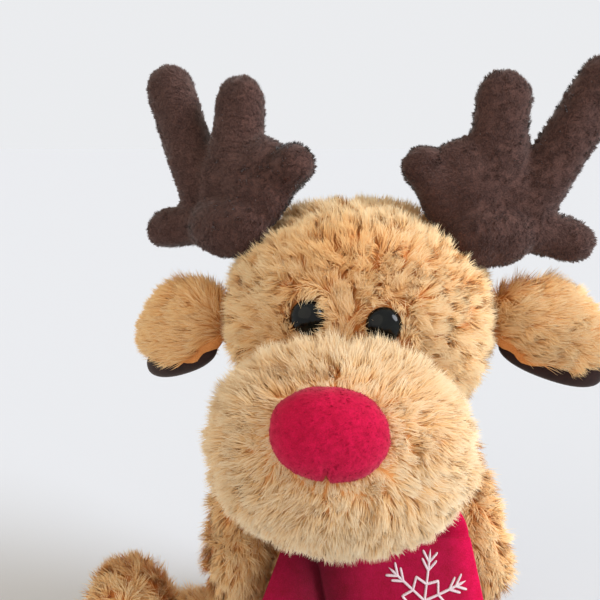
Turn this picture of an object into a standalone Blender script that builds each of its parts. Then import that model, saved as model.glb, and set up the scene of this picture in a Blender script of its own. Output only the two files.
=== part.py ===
"""Seated plush reindeer with a felt scarf, built as sewn covers round separate stuffing.

Metres, +Z up. The origin is on the surface it sits on, under the middle of the torso.
The toy faces -Y, so its own left side is at +X.
"""

import math

import bmesh
import bpy
from mathutils import Matrix, Vector

MM = 0.001

# Driving dimensions
TORSO_WIDTH = 90 * MM
TORSO_DEPTH = 90 * MM
TORSO_HEIGHT = 114 * MM
HEAD_WIDTH = 119 * MM
HEAD_DEPTH = 100 * MM
HEAD_HEIGHT = 99 * MM
MUZZLE_WIDTH = 106 * MM
MUZZLE_DEPTH = 80 * MM
MUZZLE_HEIGHT = 84 * MM
NOSE_WIDTH = 42 * MM
NOSE_DEPTH = 27 * MM
NOSE_HEIGHT = 33 * MM
NECK_RADIUS = 20 * MM
EYE_RADIUS = 7.2 * MM
EAR_LENGTH = 66 * MM
EAR_HEIGHT = 44 * MM
EAR_THICKNESS = 23 * MM
ANTLER_SPREAD = 72 * MM
ANTLER_THICKNESS = 24 * MM
ARM_LENGTH = 90 * MM
ARM_WIDTH = 39 * MM
LEG_REACH = 66 * MM
LEG_WIDTH = 42 * MM
FOOT_LENGTH = 48 * MM
FOOT_WIDTH = 46 * MM
FOOT_HEIGHT = 60 * MM
SCARF_END_WIDTH = 66 * MM
SCARF_END_LENGTH = 42 * MM
SNOWFLAKE_RADIUS = 18.4 * MM

# Cloth and pile: the covers are measured to the tips of the pile
FUR_WALL = 8 * MM
PLUSH_WALL = 3 * MM
FELT_WALL = 1.8 * MM
VELOUR_WALL = 1.6 * MM
FLAT_CUT = 0.5 * MM

# Clearances
SEWN_GAP = 0.3 * MM
FILL_GAP = 0.4 * MM
TURN_GAP = 0.6 * MM
PRESS_GAP = 1.8 * MM
NECK_GAP = 0.9 * MM
OVERRUN = 6 * MM

# How far a limb's rounded root is let into what it is sewn to
ROOT_DEPTH = 6.5 * MM
SEAM_HOLE_RADIUS = 6 * MM
ROOT_COVER_share = 0.5
PRESSED_share = 0.4

# Mesh fineness: around, along
BODY_FACETS = (20, 10)
LIMB_FACETS = (12, 7)
ROOT_FACETS = (16, 7)
TINE_FACETS = (8, 7)
TINE_FILL_FACETS = (6, 5)
FILL_FACETS = (8, 5)
NECK_FACETS = (16, 8)
FACET_SPIN = math.radians(7)

# The head's pose on the neck
HEAD_TURN = math.radians(-7.5)
HEAD_ROLL = math.radians(4)


def unit(azimuth, elevation):
    """Direction from angles in degrees: azimuth 0 is forward (-Y), 90 is the toy's left (+X)."""
    a, e = math.radians(azimuth), math.radians(elevation)
    return Vector((math.sin(a) * math.cos(e), -math.cos(a) * math.cos(e), math.sin(e)))


def frame_at(origin, along, across):
    """A frame at origin, its Z along one direction and its X as near as can be to another."""
    z = Vector(along).normalized()
    x = (Vector(across) - z * Vector(across).dot(z)).normalized()
    y = z.cross(x)
    frame = Matrix((x, y, z)).transposed().to_4x4()
    frame.translation = origin
    return frame


class Form:
    """A stuffed form: a ball stretched to its half sizes, squared by power, tapered and leaned.

    taper widens the top and narrows the bottom, lean carries the top back by that length.
    core is the half length of a straight middle between two rounded ends.
    """

    def __init__(self, half, frame, power=2.0, taper=0.0, lean=0.0, core=0.0):
        self.half, self.frame = Vector(half), frame
        self.power, self.taper, self.lean, self.core = power, taper, lean, core

    def point(self, direction, grow=0.0):
        full = sum(abs(c) ** self.power for c in direction) ** (-1 / self.power)
        x, y, z = (c * full for c in direction)
        top = self.half.z + grow
        rise = math.copysign(self.core, z) + (top - self.core) * z
        wide = 1 + self.taper * rise / top
        return self.frame @ Vector((
            (self.half.x + grow) * x * wide,
            (self.half.y + grow) * y * wide + self.lean * z,
            rise,
        ))

    def normal(self, direction):
        """Outward normal, from two steps across the surface."""
        d = Vector(direction).normalized()
        side = d.orthogonal().normalized()
        up = d.cross(side)
        step = 0.01
        across = self.point((d + side * step).normalized()) - self.point((d - side * step).normalized())
        along = self.point((d + up * step).normalized()) - self.point((d - up * step).normalized())
        n = across.cross(along).normalized()
        return n if n.dot(self.point(d) - self.frame.translation) > 0 else -n


def material(name, colour, roughness, metallic=0.0):
    m = bpy.data.materials.new(name)
    m.use_nodes = True
    shader = m.node_tree.nodes["Principled BSDF"]
    shader.inputs["Base Color"].default_value = (*colour, 1.0)
    shader.inputs["Roughness"].default_value = roughness
    shader.inputs["Metallic"].default_value = metallic
    return m


def start():
    """Empties the file and makes the two collections and the materials."""
    for o in list(bpy.data.objects):
        bpy.data.objects.remove(o, do_unlink=True)
    for name in ("plush_reindeer", "cutters"):
        bpy.context.scene.collection.children.link(bpy.data.collections.new(name))
    return {
        "tan_fur": material("tan_fur", (0.63, 0.36, 0.14), 0.9),
        "muzzle_fur": material("muzzle_fur", (0.76, 0.51, 0.27), 0.9),
        "brown_plush": material("brown_plush", (0.075, 0.037, 0.027), 0.85),
        "brown_velour": material("brown_velour", (0.026, 0.012, 0.009), 0.8),
        "nose_felt": material("nose_felt", (0.56, 0.006, 0.06), 0.85),
        "scarf_felt": material("scarf_felt", (0.36, 0.003, 0.03), 0.85),
        "thread": material("thread", (0.78, 0.68, 0.72), 0.45),
        "eye_plastic": material("eye_plastic", (0.006, 0.007, 0.007), 0.08),
        "washer_plastic": material("washer_plastic", (0.8, 0.8, 0.78), 0.4),
        "polyester_fill": material("polyester_fill", (0.86, 0.86, 0.84), 0.95),
        "pellet_cloth": material("pellet_cloth", (0.7, 0.68, 0.62), 0.9),
    }


def add_object(name, mesh, paint=None):
    """A named piece where paint is given, else a cutter."""
    o = bpy.data.objects.new(name, mesh)
    if paint is None:
        bpy.data.collections["cutters"].objects.link(o)
        o.hide_render = True
        o.display_type = "WIRE"
    else:
        bpy.data.collections["plush_reindeer"].objects.link(o)
        mesh.materials.append(paint)
        mesh.shade_smooth()
    return o


def mesh_from(name, bm):
    mesh = bpy.data.meshes.new(name)
    bm.to_mesh(mesh)
    bm.free()
    return mesh


def ball(name, form, facets, paint=None, grow=0.0, spin=0.0):
    """The form as a mesh, from a unit ball whose poles lie on the form's own Z.

    spin turns the facets about that Z and leaves the form as it is.
    """
    bm = bmesh.new()
    spun = Matrix.Rotation(spin, 4, "Z")
    bmesh.ops.create_uvsphere(bm, u_segments=facets[0], v_segments=facets[1], radius=1.0, matrix=spun)
    bmesh.ops.triangulate(bm, faces=bm.faces, quad_method="FIXED")
    for v in bm.verts:
        v.co = form.point(v.co.normalized(), grow)
    return add_object(name, mesh_from(name, bm), paint)


def rod(name, frame, radius, low, high, facets=12, paint=None):
    """A cylinder about the frame's Z, from low to high along it."""
    bm = bmesh.new()
    bmesh.ops.create_cone(
        bm, cap_ends=True, segments=facets, radius1=radius, radius2=radius, depth=high - low,
        matrix=frame @ Matrix.Translation((0, 0, (low + high) / 2)),
    )
    return add_object(name, mesh_from(name, bm), paint)


def block(name, low, high, paint=None):
    bm = bmesh.new()
    bmesh.ops.create_cube(bm, size=1.0)
    for v in bm.verts:
        v.co = Vector(a + (c + 0.5) * (b - a) for a, b, c in zip(low, high, v.co))
    return add_object(name, mesh_from(name, bm), paint)


def combine(piece, other, operation):
    m = piece.modifiers.new(f"{operation.lower()}_{other.name}"[:60], "BOOLEAN")
    m.operation = operation
    m.solver = "EXACT"
    m.object = other


def cut(piece, *others):
    for other in others:
        combine(piece, other, "DIFFERENCE")


def join(piece, *others):
    for other in others:
        combine(piece, other, "UNION")


def ground(name):
    """The part of a form that lies below the seat's flat cut."""
    reach = TORSO_WIDTH + LEG_REACH + FOOT_LENGTH
    return block(name, (-reach, -reach, -reach), (reach, reach, 0))


def stuffed(
    name, forms, wall, paints, cover_paint, facets=LIMB_FACETS, mouth=None,
    cutters=(), fill_cutters=(), beside=None, fill_facets=FILL_FACETS,
):
    """A cover open at its mouth, and the stuffing inside it, both from the same list of forms.

    cutters shape the cover, fill_cutters the stuffing. The first form is pressed flat against
    beside, where that is given, and its wall is pressed thin there.
    """
    fill_wall = wall + FILL_GAP
    cover = ball(f"{name}_cover", forms[0], facets, paints[cover_paint])
    fill = ball(f"{name}_stuffing", forms[0], fill_facets, paints["polyester_fill"], -fill_wall)
    hollows = [
        ball(f"{name}_hollow_{i}", form, fill_facets, grow=-wall, spin=i * FACET_SPIN)
        for i, form in enumerate(forms)
    ]
    if beside is not None:
        pressed = PRESS_GAP + wall * PRESSED_share
        for piece, gap in ((cover, PRESS_GAP), (hollows[0], pressed), (fill, pressed + FILL_GAP)):
            cut(piece, ball(f"{piece.name}_pressed", beside, BODY_FACETS, grow=gap))
    for i, form in enumerate(forms[1:], 1):
        spin = i * FACET_SPIN
        join(cover, ball(f"{name}_cover_form_{i}", form, facets, spin=spin))
        join(fill, ball(f"{name}_fill_form_{i}", form, fill_facets, grow=-fill_wall, spin=spin))
    cut(cover, *hollows)
    if mouth is not None:
        cut(cover, mouth)
    cut(cover, *cutters)
    cut(fill, *fill_cutters)
    return cover, fill


def root_form(pivot, axis, radius, half_thickness):
    """The rounded root of a limb: turned about the axis that it swings on."""
    return Form((radius, radius, half_thickness), frame_at(pivot, axis, Vector(axis).orthogonal()))


def seat_on(form, direction, radius):
    """The pivot of a root of that radius, let in by ROOT_DEPTH where the direction meets the form."""
    return form.point(direction) + form.normal(direction) * (radius - ROOT_DEPTH)


# Torso
TORSO_LEAN = 8 * MM
TORSO_BACK = 6 * MM
TORSO_CENTRE = Vector((0, TORSO_BACK, TORSO_HEIGHT / 2 - FLAT_CUT))
TORSO = Form(
    (TORSO_WIDTH / 2, TORSO_DEPTH / 2, TORSO_HEIGHT / 2),
    Matrix.Translation(TORSO_CENTRE), power=3.2, taper=-0.2, lean=TORSO_LEAN,
)
PELLET_BAG_HEIGHT = 24 * MM
PELLET_BAG_RAISED = 3 * MM
PELLET_BAG_share = 0.62

# Neck: a tight ball of stuffing, which the head turns and nods on
NECK_LIFT_share = 0.3
NECK_CENTRE = TORSO.point((0, 0, 1)) + Vector((0, 0, NECK_RADIUS * NECK_LIFT_share))
HEAD_FRAME = (
    Matrix.Translation(NECK_CENTRE) @ Matrix.Rotation(HEAD_TURN, 4, "Z")
    @ Matrix.Rotation(HEAD_ROLL, 4, "Y") @ Matrix.Translation(-NECK_CENTRE)
)
NECK = Form((NECK_RADIUS,) * 3, Matrix.Translation(NECK_CENTRE))

# Head and muzzle, in the head's own frame
HEAD_LIFT_share = 1.02
HEAD_FORWARD = 11 * MM
HEAD_CENTRE = NECK_CENTRE + Vector((0, -HEAD_FORWARD, HEAD_HEIGHT / 2 * HEAD_LIFT_share))
HEAD = Form(
    (HEAD_WIDTH / 2, HEAD_DEPTH / 2, HEAD_HEIGHT / 2),
    HEAD_FRAME @ Matrix.Translation(HEAD_CENTRE), power=2.35, taper=-0.04,
)
MUZZLE_STANDOFF_share = 0.16
MUZZLE_DROP_share = 0.87
MUZZLE_CENTRE = HEAD_CENTRE + Vector((
    0, -HEAD_DEPTH / 2 - MUZZLE_DEPTH * MUZZLE_STANDOFF_share, -HEAD_HEIGHT / 2 * MUZZLE_DROP_share,
))
MUZZLE = Form(
    (MUZZLE_WIDTH / 2, MUZZLE_DEPTH / 2, MUZZLE_HEIGHT / 2),
    HEAD_FRAME @ Matrix.Translation(MUZZLE_CENTRE), power=2.15,
)
NOSE_AZIMUTH = -2
NOSE_ELEVATION = 24
NOSE_SINK_share = 0.16


def make_torso(paints):
    cover, fill = stuffed(
        "torso", [TORSO], FUR_WALL, paints, "tan_fur", BODY_FACETS,
        cutters=[ball("torso_neck_seat", NECK, NECK_FACETS, grow=NECK_GAP), ground("torso_ground")],
        fill_cutters=[ball("torso_fill_neck_seat", NECK, NECK_FACETS, grow=NECK_GAP)],
    )
    bag_half = Vector((TORSO_WIDTH, TORSO_DEPTH, 0)) * (PELLET_BAG_share / 2)
    bag_half.z = PELLET_BAG_HEIGHT / 2
    bag_centre = TORSO.point((0, 0, -1), -FUR_WALL - FILL_GAP)
    bag_centre.z += PELLET_BAG_HEIGHT / 2 + PELLET_BAG_RAISED
    bag = Form(bag_half, Matrix.Translation(bag_centre), power=2.6)
    ball("pellet_bag", bag, FILL_FACETS, paints["pellet_cloth"], spin=FACET_SPIN)
    low = bag_centre - Vector((0, 0, PELLET_BAG_HEIGHT))
    cut(
        fill, ball("pellet_bag_room", bag, FILL_FACETS, grow=FILL_GAP, spin=FACET_SPIN),
        rod("pellet_bag_way_in", Matrix.Translation(low), SEAM_HOLE_RADIUS, 0, PELLET_BAG_HEIGHT, 10),
    )
    return cover, fill


def make_neck(paints):
    ball("neck_stuffing", NECK, NECK_FACETS, paints["polyester_fill"])


def make_head(paints):
    neck_room = ball("head_neck_room", NECK, NECK_FACETS, grow=NECK_GAP)
    cover, fill = stuffed(
        "head", [HEAD], FUR_WALL, paints, "tan_fur", BODY_FACETS,
        cutters=[neck_room], fill_cutters=[ball("head_fill_neck_room", NECK, NECK_FACETS, grow=NECK_GAP)],
    )
    return cover, fill


def make_muzzle(paints):
    cover, fill = stuffed(
        "muzzle", [MUZZLE], FUR_WALL, paints, "muzzle_fur", BODY_FACETS,
        cutters=[ball("muzzle_head_seat", HEAD, BODY_FACETS, grow=SEWN_GAP)],
        fill_cutters=[ball("muzzle_fill_head_seat", HEAD, BODY_FACETS, grow=SEWN_GAP)],
    )
    return cover, fill


def make_nose(paints):
    """A felt cap over its own wad of stuffing, sewn to the front of the muzzle."""
    way = unit(NOSE_AZIMUTH, NOSE_ELEVATION)
    seat = MUZZLE.point(way) - (HEAD_FRAME.to_3x3() @ unit(0, 0)) * (NOSE_DEPTH * NOSE_SINK_share)
    frame = HEAD_FRAME.to_3x3().to_4x4()
    frame.translation = seat
    nose = Form((NOSE_WIDTH / 2, NOSE_DEPTH / 2, NOSE_HEIGHT / 2), frame, power=2.2)
    stuffed(
        "nose", [nose], FELT_WALL, paints, "nose_felt", LIMB_FACETS,
        cutters=[ball("nose_muzzle_seat", MUZZLE, BODY_FACETS, grow=SEWN_GAP)],
        fill_cutters=[ball("nose_fill_muzzle_seat", MUZZLE, BODY_FACETS, grow=SEWN_GAP)],
    )


# Eyes: a plastic dome whose shank goes through the cover into a locking washer
EYE_AZIMUTH = 15
EYE_SHIFT = -2.5
EYE_ELEVATION = 5
EYE_DOME_HEIGHT = 4.6 * MM
EYE_SUNK = 3.6 * MM
SHANK_RADIUS = 1.5 * MM
WASHER_RADIUS = 5.6 * MM
WASHER_THICKNESS = 1.5 * MM
WASHER_ROOM = 1 * MM


def make_eye(side, word, head_cover, head_fill, paints):
    """The dome's flat back is sunk in the pile, on the backing cloth."""
    way = unit(side * EYE_AZIMUTH + EYE_SHIFT, EYE_ELEVATION)
    out = HEAD.normal(way)
    back = HEAD.point(way) - out * EYE_SUNK
    frame = frame_at(back, out, (1, 0, 0))
    shank = FUR_WALL + WASHER_THICKNESS + WASHER_ROOM
    dome = Form((EYE_RADIUS, EYE_RADIUS, EYE_DOME_HEIGHT), frame)
    eye = ball(f"eye_{word}", dome, ROOT_FACETS, paints["eye_plastic"])
    cut(eye, rod(f"eye_{word}_back", frame, EYE_RADIUS + OVERRUN, -EYE_RADIUS - OVERRUN, 0))
    join(eye, rod(f"eye_{word}_shank", frame, SHANK_RADIUS, -shank, EYE_DOME_HEIGHT / 2))
    cut(
        head_cover,
        rod(f"eye_{word}_room", frame, EYE_RADIUS + SEWN_GAP, -SEWN_GAP, EYE_DOME_HEIGHT + OVERRUN, 24),
        rod(f"eye_{word}_hole", frame, SHANK_RADIUS + SEWN_GAP, -shank - OVERRUN, OVERRUN),
    )
    top = -FUR_WALL + EYE_SUNK - WASHER_ROOM
    low = top - WASHER_THICKNESS
    washer = rod(f"eye_washer_{word}", frame, WASHER_RADIUS, low, top, 16, paints["washer_plastic"])
    cut(washer, rod(f"eye_washer_{word}_hole", frame, SHANK_RADIUS + SEWN_GAP, low - OVERRUN, top + OVERRUN))
    room = WASHER_RADIUS + SEWN_GAP
    cut(head_cover, rod(f"eye_washer_{word}_room", frame, room, -shank - OVERRUN, top + SEWN_GAP, 16))
    cut(head_fill, rod(f"eye_washer_{word}_fill_room", frame, room, -shank - WASHER_ROOM, EYE_SUNK, 16))


# Ears: a furred half with a velour lining in its hollow underside
EAR_AZIMUTH = 90
EAR_ROOT_RADIUS = 19 * MM
EAR_TIP_share = 0.3
EAR_HOLLOW_share = 0.62
EAR_HOLLOW_SHIFT_share = 0.07
EAR_POSES = {"left": (2, 8, 16), "right": (-12, 32, 24)}


def make_ear(side, word, head_cover, paints):
    elevation, sweep, droop = EAR_POSES[word]
    sweep, droop = math.radians(sweep), math.radians(droop)
    pivot = seat_on(HEAD, unit(side * EAR_AZIMUTH, elevation), EAR_ROOT_RADIUS)
    head_turn = HEAD_FRAME.to_3x3()
    along = head_turn @ Vector((
        side * math.cos(sweep) * math.cos(droop), math.sin(sweep) * math.cos(droop), -math.sin(droop),
    ))
    level = head_turn @ Vector((-side * math.sin(sweep), math.cos(sweep), 0))
    axis = along.cross(level.cross(along)).normalized()
    up = frame_at(pivot, along, axis).to_3x3() @ Vector((0, 1, 0))
    up = up if up.z > 0 else -up
    root = root_form(pivot, axis, EAR_ROOT_RADIUS, EAR_THICKNESS / 2)
    start = EAR_ROOT_RADIUS * ROOT_COVER_share
    length = EAR_LENGTH - EAR_ROOT_RADIUS + start
    centre = pivot + along * (length / 2 - start)
    leaf = Form(
        (EAR_THICKNESS / 2, EAR_HEIGHT / 2, length / 2),
        frame_at(centre, along, axis), power=2.6, taper=-EAR_TIP_share / 2,
    )
    hollow = Form(
        (EAR_THICKNESS / 2 * EAR_HOLLOW_share, EAR_HEIGHT / 2 * EAR_HOLLOW_share, length / 2 * EAR_HOLLOW_share),
        frame_at(centre - up * (EAR_HEIGHT / 2) + along * (length * EAR_HOLLOW_SHIFT_share), along, axis), power=2.4,
    )
    ear = ball(f"ear_{word}_cover", leaf, LIMB_FACETS, paints["tan_fur"])
    join(ear, ball(f"ear_{word}_root", root, ROOT_FACETS))
    cut(ear, ball(f"ear_{word}_hollow", hollow, LIMB_FACETS, grow=VELOUR_WALL + SEWN_GAP))
    lining = ball(f"ear_{word}_lining", hollow, LIMB_FACETS, paints["brown_velour"], VELOUR_WALL)
    cut(lining, ball(f"ear_{word}_lining_inside", hollow, LIMB_FACETS))
    keep = ball(f"ear_{word}_lining_edge", leaf, LIMB_FACETS, grow=-SEWN_GAP)
    combine(lining, keep, "INTERSECT")
    cut(head_cover, ball(f"ear_{word}_seat", root, ROOT_FACETS, grow=TURN_GAP))
    return pivot, axis * side


# Antlers: places across and up in shares of the spread, and each radius, from the base outwards
ANTLER_AZIMUTH = 88
ANTLER_ROOT_RADIUS = 24 * MM
ANTLER_TINE_shares = [
    ((0.02, 0.00), (0.18, -0.04), 0.25, 0.24, 1.0),
    ((0.12, -0.02), (0.22, 0.53), 0.23, 0.165, 0.92),
    ((0.36, -0.08), (0.83, 0.57), 0.18, 0.17, 0.92),
    ((0.19, -0.22), (0.61, -0.36), 0.17, 0.135, 0.84),
    ((-0.04, -0.12), (-0.29, 0.15), 0.16, 0.142, 0.84),
]
ANTLER_ELEVATION = {"left": 54, "right": 47}
ANTLER_POSES = {"left": (12, -8, 4), "right": (28, 0, 14)}


def make_antler(side, word, head_cover, paints):
    """Tapered tubes that run into each other, flat across, over a round root."""
    sweep, lean, tip = (math.radians(a) for a in ANTLER_POSES[word])
    pivot = seat_on(HEAD, unit(side * ANTLER_AZIMUTH, ANTLER_ELEVATION[word]), ANTLER_ROOT_RADIUS)
    head_turn = HEAD_FRAME.to_3x3()
    out = head_turn @ Vector((side * math.cos(sweep), math.sin(sweep), 0))
    back = head_turn @ Vector((-side * math.sin(sweep), math.cos(sweep), 0))
    tilt = Matrix.Rotation(side * lean, 3, back) @ Matrix.Rotation(-side * tip, 3, out)
    out, back = tilt @ out, tilt @ back
    up = side * out.cross(back)
    thick = ANTLER_THICKNESS / 2
    forms = [root_form(pivot, back, ANTLER_ROOT_RADIUS, thick)]
    for start, end, wide, narrow, flat in ANTLER_TINE_shares:
        a, b = (pivot + (out * p[0] + up * p[1]) * ANTLER_SPREAD for p in (start, end))
        wide, narrow = wide * ANTLER_SPREAD, narrow * ANTLER_SPREAD
        along = (b - a).normalized()
        core, mean = (b - a).length / 2, (wide + narrow) / 2
        centre = (a + b) / 2 + along * ((narrow - wide) / 2)
        forms.append(Form(
            (mean, thick * flat, core + mean), frame_at(centre, along, along.cross(back)),
            power=2.2, taper=(narrow - wide) / (narrow + wide), core=core,
        ))
    forms = forms[1:] + forms[:1]
    mouth = rod(
        f"antler_{word}_mouth", frame_at(pivot, -up, out), SEAM_HOLE_RADIUS, 0, ANTLER_ROOT_RADIUS + OVERRUN,
    )
    stuffed(
        f"antler_{word}", forms, PLUSH_WALL, paints, "brown_plush", TINE_FACETS, mouth,
        fill_facets=TINE_FILL_FACETS,
    )
    cut(head_cover, ball(f"antler_{word}_seat", forms[-1], ROOT_FACETS, grow=TURN_GAP))
    return pivot, back * side


# Arms: hang from the shoulders to the thighs
ARM_AZIMUTH = 88
ARM_ELEVATION = 40
ARM_ROOT_RADIUS = 17.5 * MM
ARM_WAYS = {"left": (11, -27, -45), "right": (9, -27, -46)}
ARM_HAND_share = 0.1


def make_arm(side, word, torso_cover, paints):
    pivot = seat_on(TORSO, unit(side * ARM_AZIMUTH, ARM_ELEVATION), ARM_ROOT_RADIUS)
    x, y, z = ARM_WAYS[word]
    along = Vector((side * x, y, z)).normalized()
    root = root_form(pivot, (0, 1, 0), ARM_ROOT_RADIUS, ARM_ROOT_RADIUS)
    start = ARM_ROOT_RADIUS * ROOT_COVER_share
    length = ARM_LENGTH - ARM_ROOT_RADIUS + start
    centre = pivot + along * (length / 2 - start)
    arm = Form(
        (ARM_WIDTH / 2, ARM_WIDTH / 2, length / 2), frame_at(centre, along, (0, 1, 0)),
        power=2.5, taper=ARM_HAND_share / 2,
    )
    inward = TORSO.normal(unit(side * ARM_AZIMUTH, ARM_ELEVATION)) * -1
    mouth = rod(
        f"arm_{word}_mouth", frame_at(pivot, inward, (0, 1, 0)), SEAM_HOLE_RADIUS, 0, ARM_ROOT_RADIUS + OVERRUN,
    )
    stuffed(f"arm_{word}", [arm, root], FUR_WALL, paints, "tan_fur", LIMB_FACETS, mouth, beside=TORSO)
    cut(torso_cover, ball(f"arm_{word}_seat", root, ROOT_FACETS, grow=TURN_GAP))
    return pivot, Vector((0, -side, 0))


# Legs: lie on the ground, the right foot up and the left one tipped forward
LEG_SPLAY = {"left": 64, "right": 84}
FOOT_TIP = {"left": 60, "right": 0}
LEG_ROOT_RADIUS = 20 * MM
LEG_ROOT_HEIGHT = 38 * MM


def make_leg(side, word, torso_cover, paints):
    splay = side * LEG_SPLAY[word]
    level = LEG_WIDTH / 2 - FLAT_CUT
    drop = math.degrees(math.asin((level - TORSO_CENTRE.z) / TORSO_CENTRE.z))
    meet = TORSO.point(unit(splay, drop))
    along = unit(splay, 0)
    pivot = meet + along * (LEG_ROOT_RADIUS - ROOT_DEPTH)
    pivot.z = level
    root = root_form(pivot, (0, 0, 1), LEG_ROOT_RADIUS, LEG_ROOT_HEIGHT / 2)
    start = LEG_ROOT_RADIUS * ROOT_COVER_share
    thigh_half = (LEG_REACH + start) / 2
    thigh = Form(
        (LEG_WIDTH / 2, LEG_WIDTH / 2, thigh_half),
        frame_at(pivot + along * (thigh_half - start), along, (0, 0, 1)), power=2.6,
    )
    tip = math.radians(FOOT_TIP[word])
    upright = Vector((0, 0, math.cos(tip))) + along * math.sin(tip)
    ahead = along * math.cos(tip) - Vector((0, 0, math.sin(tip)))
    toe = pivot + along * (LEG_REACH - FOOT_LENGTH / 2)
    toe.z = math.hypot(FOOT_HEIGHT / 2 * math.cos(tip), FOOT_LENGTH / 2 * math.sin(tip)) - FLAT_CUT
    foot = Form(
        (FOOT_LENGTH / 2, FOOT_WIDTH / 2, FOOT_HEIGHT / 2), frame_at(toe, upright, ahead), power=2.3,
    )
    mouth = rod(
        f"leg_{word}_mouth", frame_at(pivot, -along, (0, 0, 1)), SEAM_HOLE_RADIUS, 0, LEG_ROOT_RADIUS + OVERRUN,
    )
    stuffed(
        f"leg_{word}", [thigh, foot, root], FUR_WALL, paints, "tan_fur", LIMB_FACETS, mouth,
        cutters=[ground(f"leg_{word}_ground")],
    )
    cut(torso_cover, ball(f"leg_{word}_seat", root, ROOT_FACETS, grow=TURN_GAP))
    return pivot, Vector((0, 0, side))


# Tail: doubled fur, no stuffing
TAIL_WIDTH = 20 * MM
TAIL_HEIGHT = 27 * MM
TAIL_DEPTH = 24 * MM
TAIL_ELEVATION = -28
TAIL_OUT_share = 0.22
TAIL_UP_share = 0.25


def make_tail(paints):
    way = unit(180, TAIL_ELEVATION)
    centre = TORSO.point(way) + Vector((0, TAIL_DEPTH * TAIL_OUT_share, TAIL_HEIGHT * TAIL_UP_share))
    tail = Form((TAIL_WIDTH / 2, TAIL_DEPTH / 2, TAIL_HEIGHT / 2), Matrix.Translation(centre), power=2.2)
    piece = ball("tail", tail, LIMB_FACETS, paints["tan_fur"])
    cut(piece, ball("tail_seat", TORSO, BODY_FACETS, grow=SEWN_GAP))


# Scarf: a band round the neck, a crossing on the chest and two ends that hang from it
SCARF_THICKNESS = 2.2 * MM
BAND_THICKNESS = 3.4 * MM
BAND_HEIGHT = 15 * MM
BAND_UNDER_HEAD = 1.2 * MM
BAND_SEAM_DROP = 4 * MM
FOLD_HEIGHT = 78 * MM
FOLD_FORWARD = 40 * MM
END_FORWARD = 52 * MM
OVER_SLOPE_share = 0.12
UNDER_SLOPE_share = 0.36
WAVE_DEPTH = 2.6 * MM
CHEST_ROUND_share = 0.05
OVER_LEFT_EDGE = 48 * MM
UNDER_RIGHT_EDGE = 37 * MM
UNDER_WIDTH = 52 * MM
LIFT_GAP = 1.2 * MM
END_GAP = 0.6 * MM
CROSSING_BOW = 1.2 * MM
SEAM_WIDTH_share = 0.75
CLOTH_FACETS = (12, 7)


def drape(x, drop, behind):
    """A point of the hanging cloth's front face, drop below the fold, folds deepening as it falls."""
    fall = drop / SCARF_END_LENGTH
    forward = FOLD_FORWARD + (END_FORWARD - FOLD_FORWARD) * math.sin(min(max(fall, 0), 1) * math.pi / 2)
    wave = WAVE_DEPTH * max(fall, 0) * math.cos(x / SCARF_END_WIDTH * 2 * math.pi)
    y = -forward + CHEST_ROUND_share * x * x / FOLD_FORWARD + wave + behind
    return Vector((x, y, FOLD_HEIGHT - drop))


def cloth(name, place, paints, grid=CLOTH_FACETS):
    """A sheet: place gives its front face from across and down, each 0 to 1; its wall goes back."""
    bm = bmesh.new()
    bmesh.ops.create_grid(bm, x_segments=grid[0], y_segments=grid[1], size=0.5)
    for v in bm.verts:
        v.co = place(v.co.x + 0.5, 0.5 - v.co.y)
    bmesh.ops.recalc_face_normals(bm, faces=bm.faces)
    bm.normal_update()
    if sum(f.normal.y for f in bm.faces) > 0:
        bmesh.ops.reverse_faces(bm, faces=bm.faces)
    piece = add_object(name, mesh_from(name, bm), paints)
    wall = piece.modifiers.new("wall", "SOLIDIFY")
    wall.thickness = SCARF_THICKNESS
    wall.offset = -1
    return piece


def make_scarf(paints):
    felt = paints["scarf_felt"]
    centre = NECK_CENTRE.copy()
    top = HEAD.point((0, 0, -1)).z - BAND_UNDER_HEAD
    inner = NECK_RADIUS + NECK_GAP
    outer = inner + BAND_THICKNESS
    seam = outer + SCARF_THICKNESS + END_GAP
    band_frame = Matrix.Translation((centre.x, centre.y, top))
    band = rod("scarf_band", band_frame, outer, -BAND_HEIGHT, 0, 32, felt)
    cut(band, rod("scarf_band_inside", band_frame, inner, -BAND_HEIGHT - OVERRUN, OVERRUN, 32))
    cut(band, ball("scarf_band_chest", TORSO, BODY_FACETS, grow=SEWN_GAP))

    def crossing(across, down):
        """From the band's front down and out to the fold, widening as it goes."""
        half_top = inner * SEAM_WIDTH_share
        x0 = half_top * (2 * across - 1)
        x1 = -UNDER_RIGHT_EDGE + across * (UNDER_RIGHT_EDGE + OVER_LEFT_EDGE)
        high = Vector((x0, centre.y - math.sqrt(seam * seam - x0 * x0), top - BAND_SEAM_DROP))
        low = drape(x1, -LIFT_GAP, 0)
        bow = math.sin(down * math.pi) * CROSSING_BOW
        return high.lerp(low, down) - Vector((0, bow, 0))

    cloth("scarf_crossing", crossing, felt)

    def over(across, down):
        drop = down * SCARF_END_LENGTH
        x = OVER_LEFT_EDGE - (1 - across) * SCARF_END_WIDTH + OVER_SLOPE_share * drop
        return drape(x, drop, 0)

    def under(across, down):
        drop = down * SCARF_END_LENGTH
        x = -UNDER_RIGHT_EDGE + across * UNDER_WIDTH - UNDER_SLOPE_share * drop
        return drape(x, drop, SCARF_THICKNESS + END_GAP)

    cloth("scarf_end_over", over, felt)
    cloth("scarf_end_under", under, felt)
    fold = drape(0, 0, 0)
    return {
        "scarf_under_lift": (fold, Vector((-1, 0, 0))),
        "scarf_over_lift": (fold, Vector((-1, 0, 0))),
    }


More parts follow.
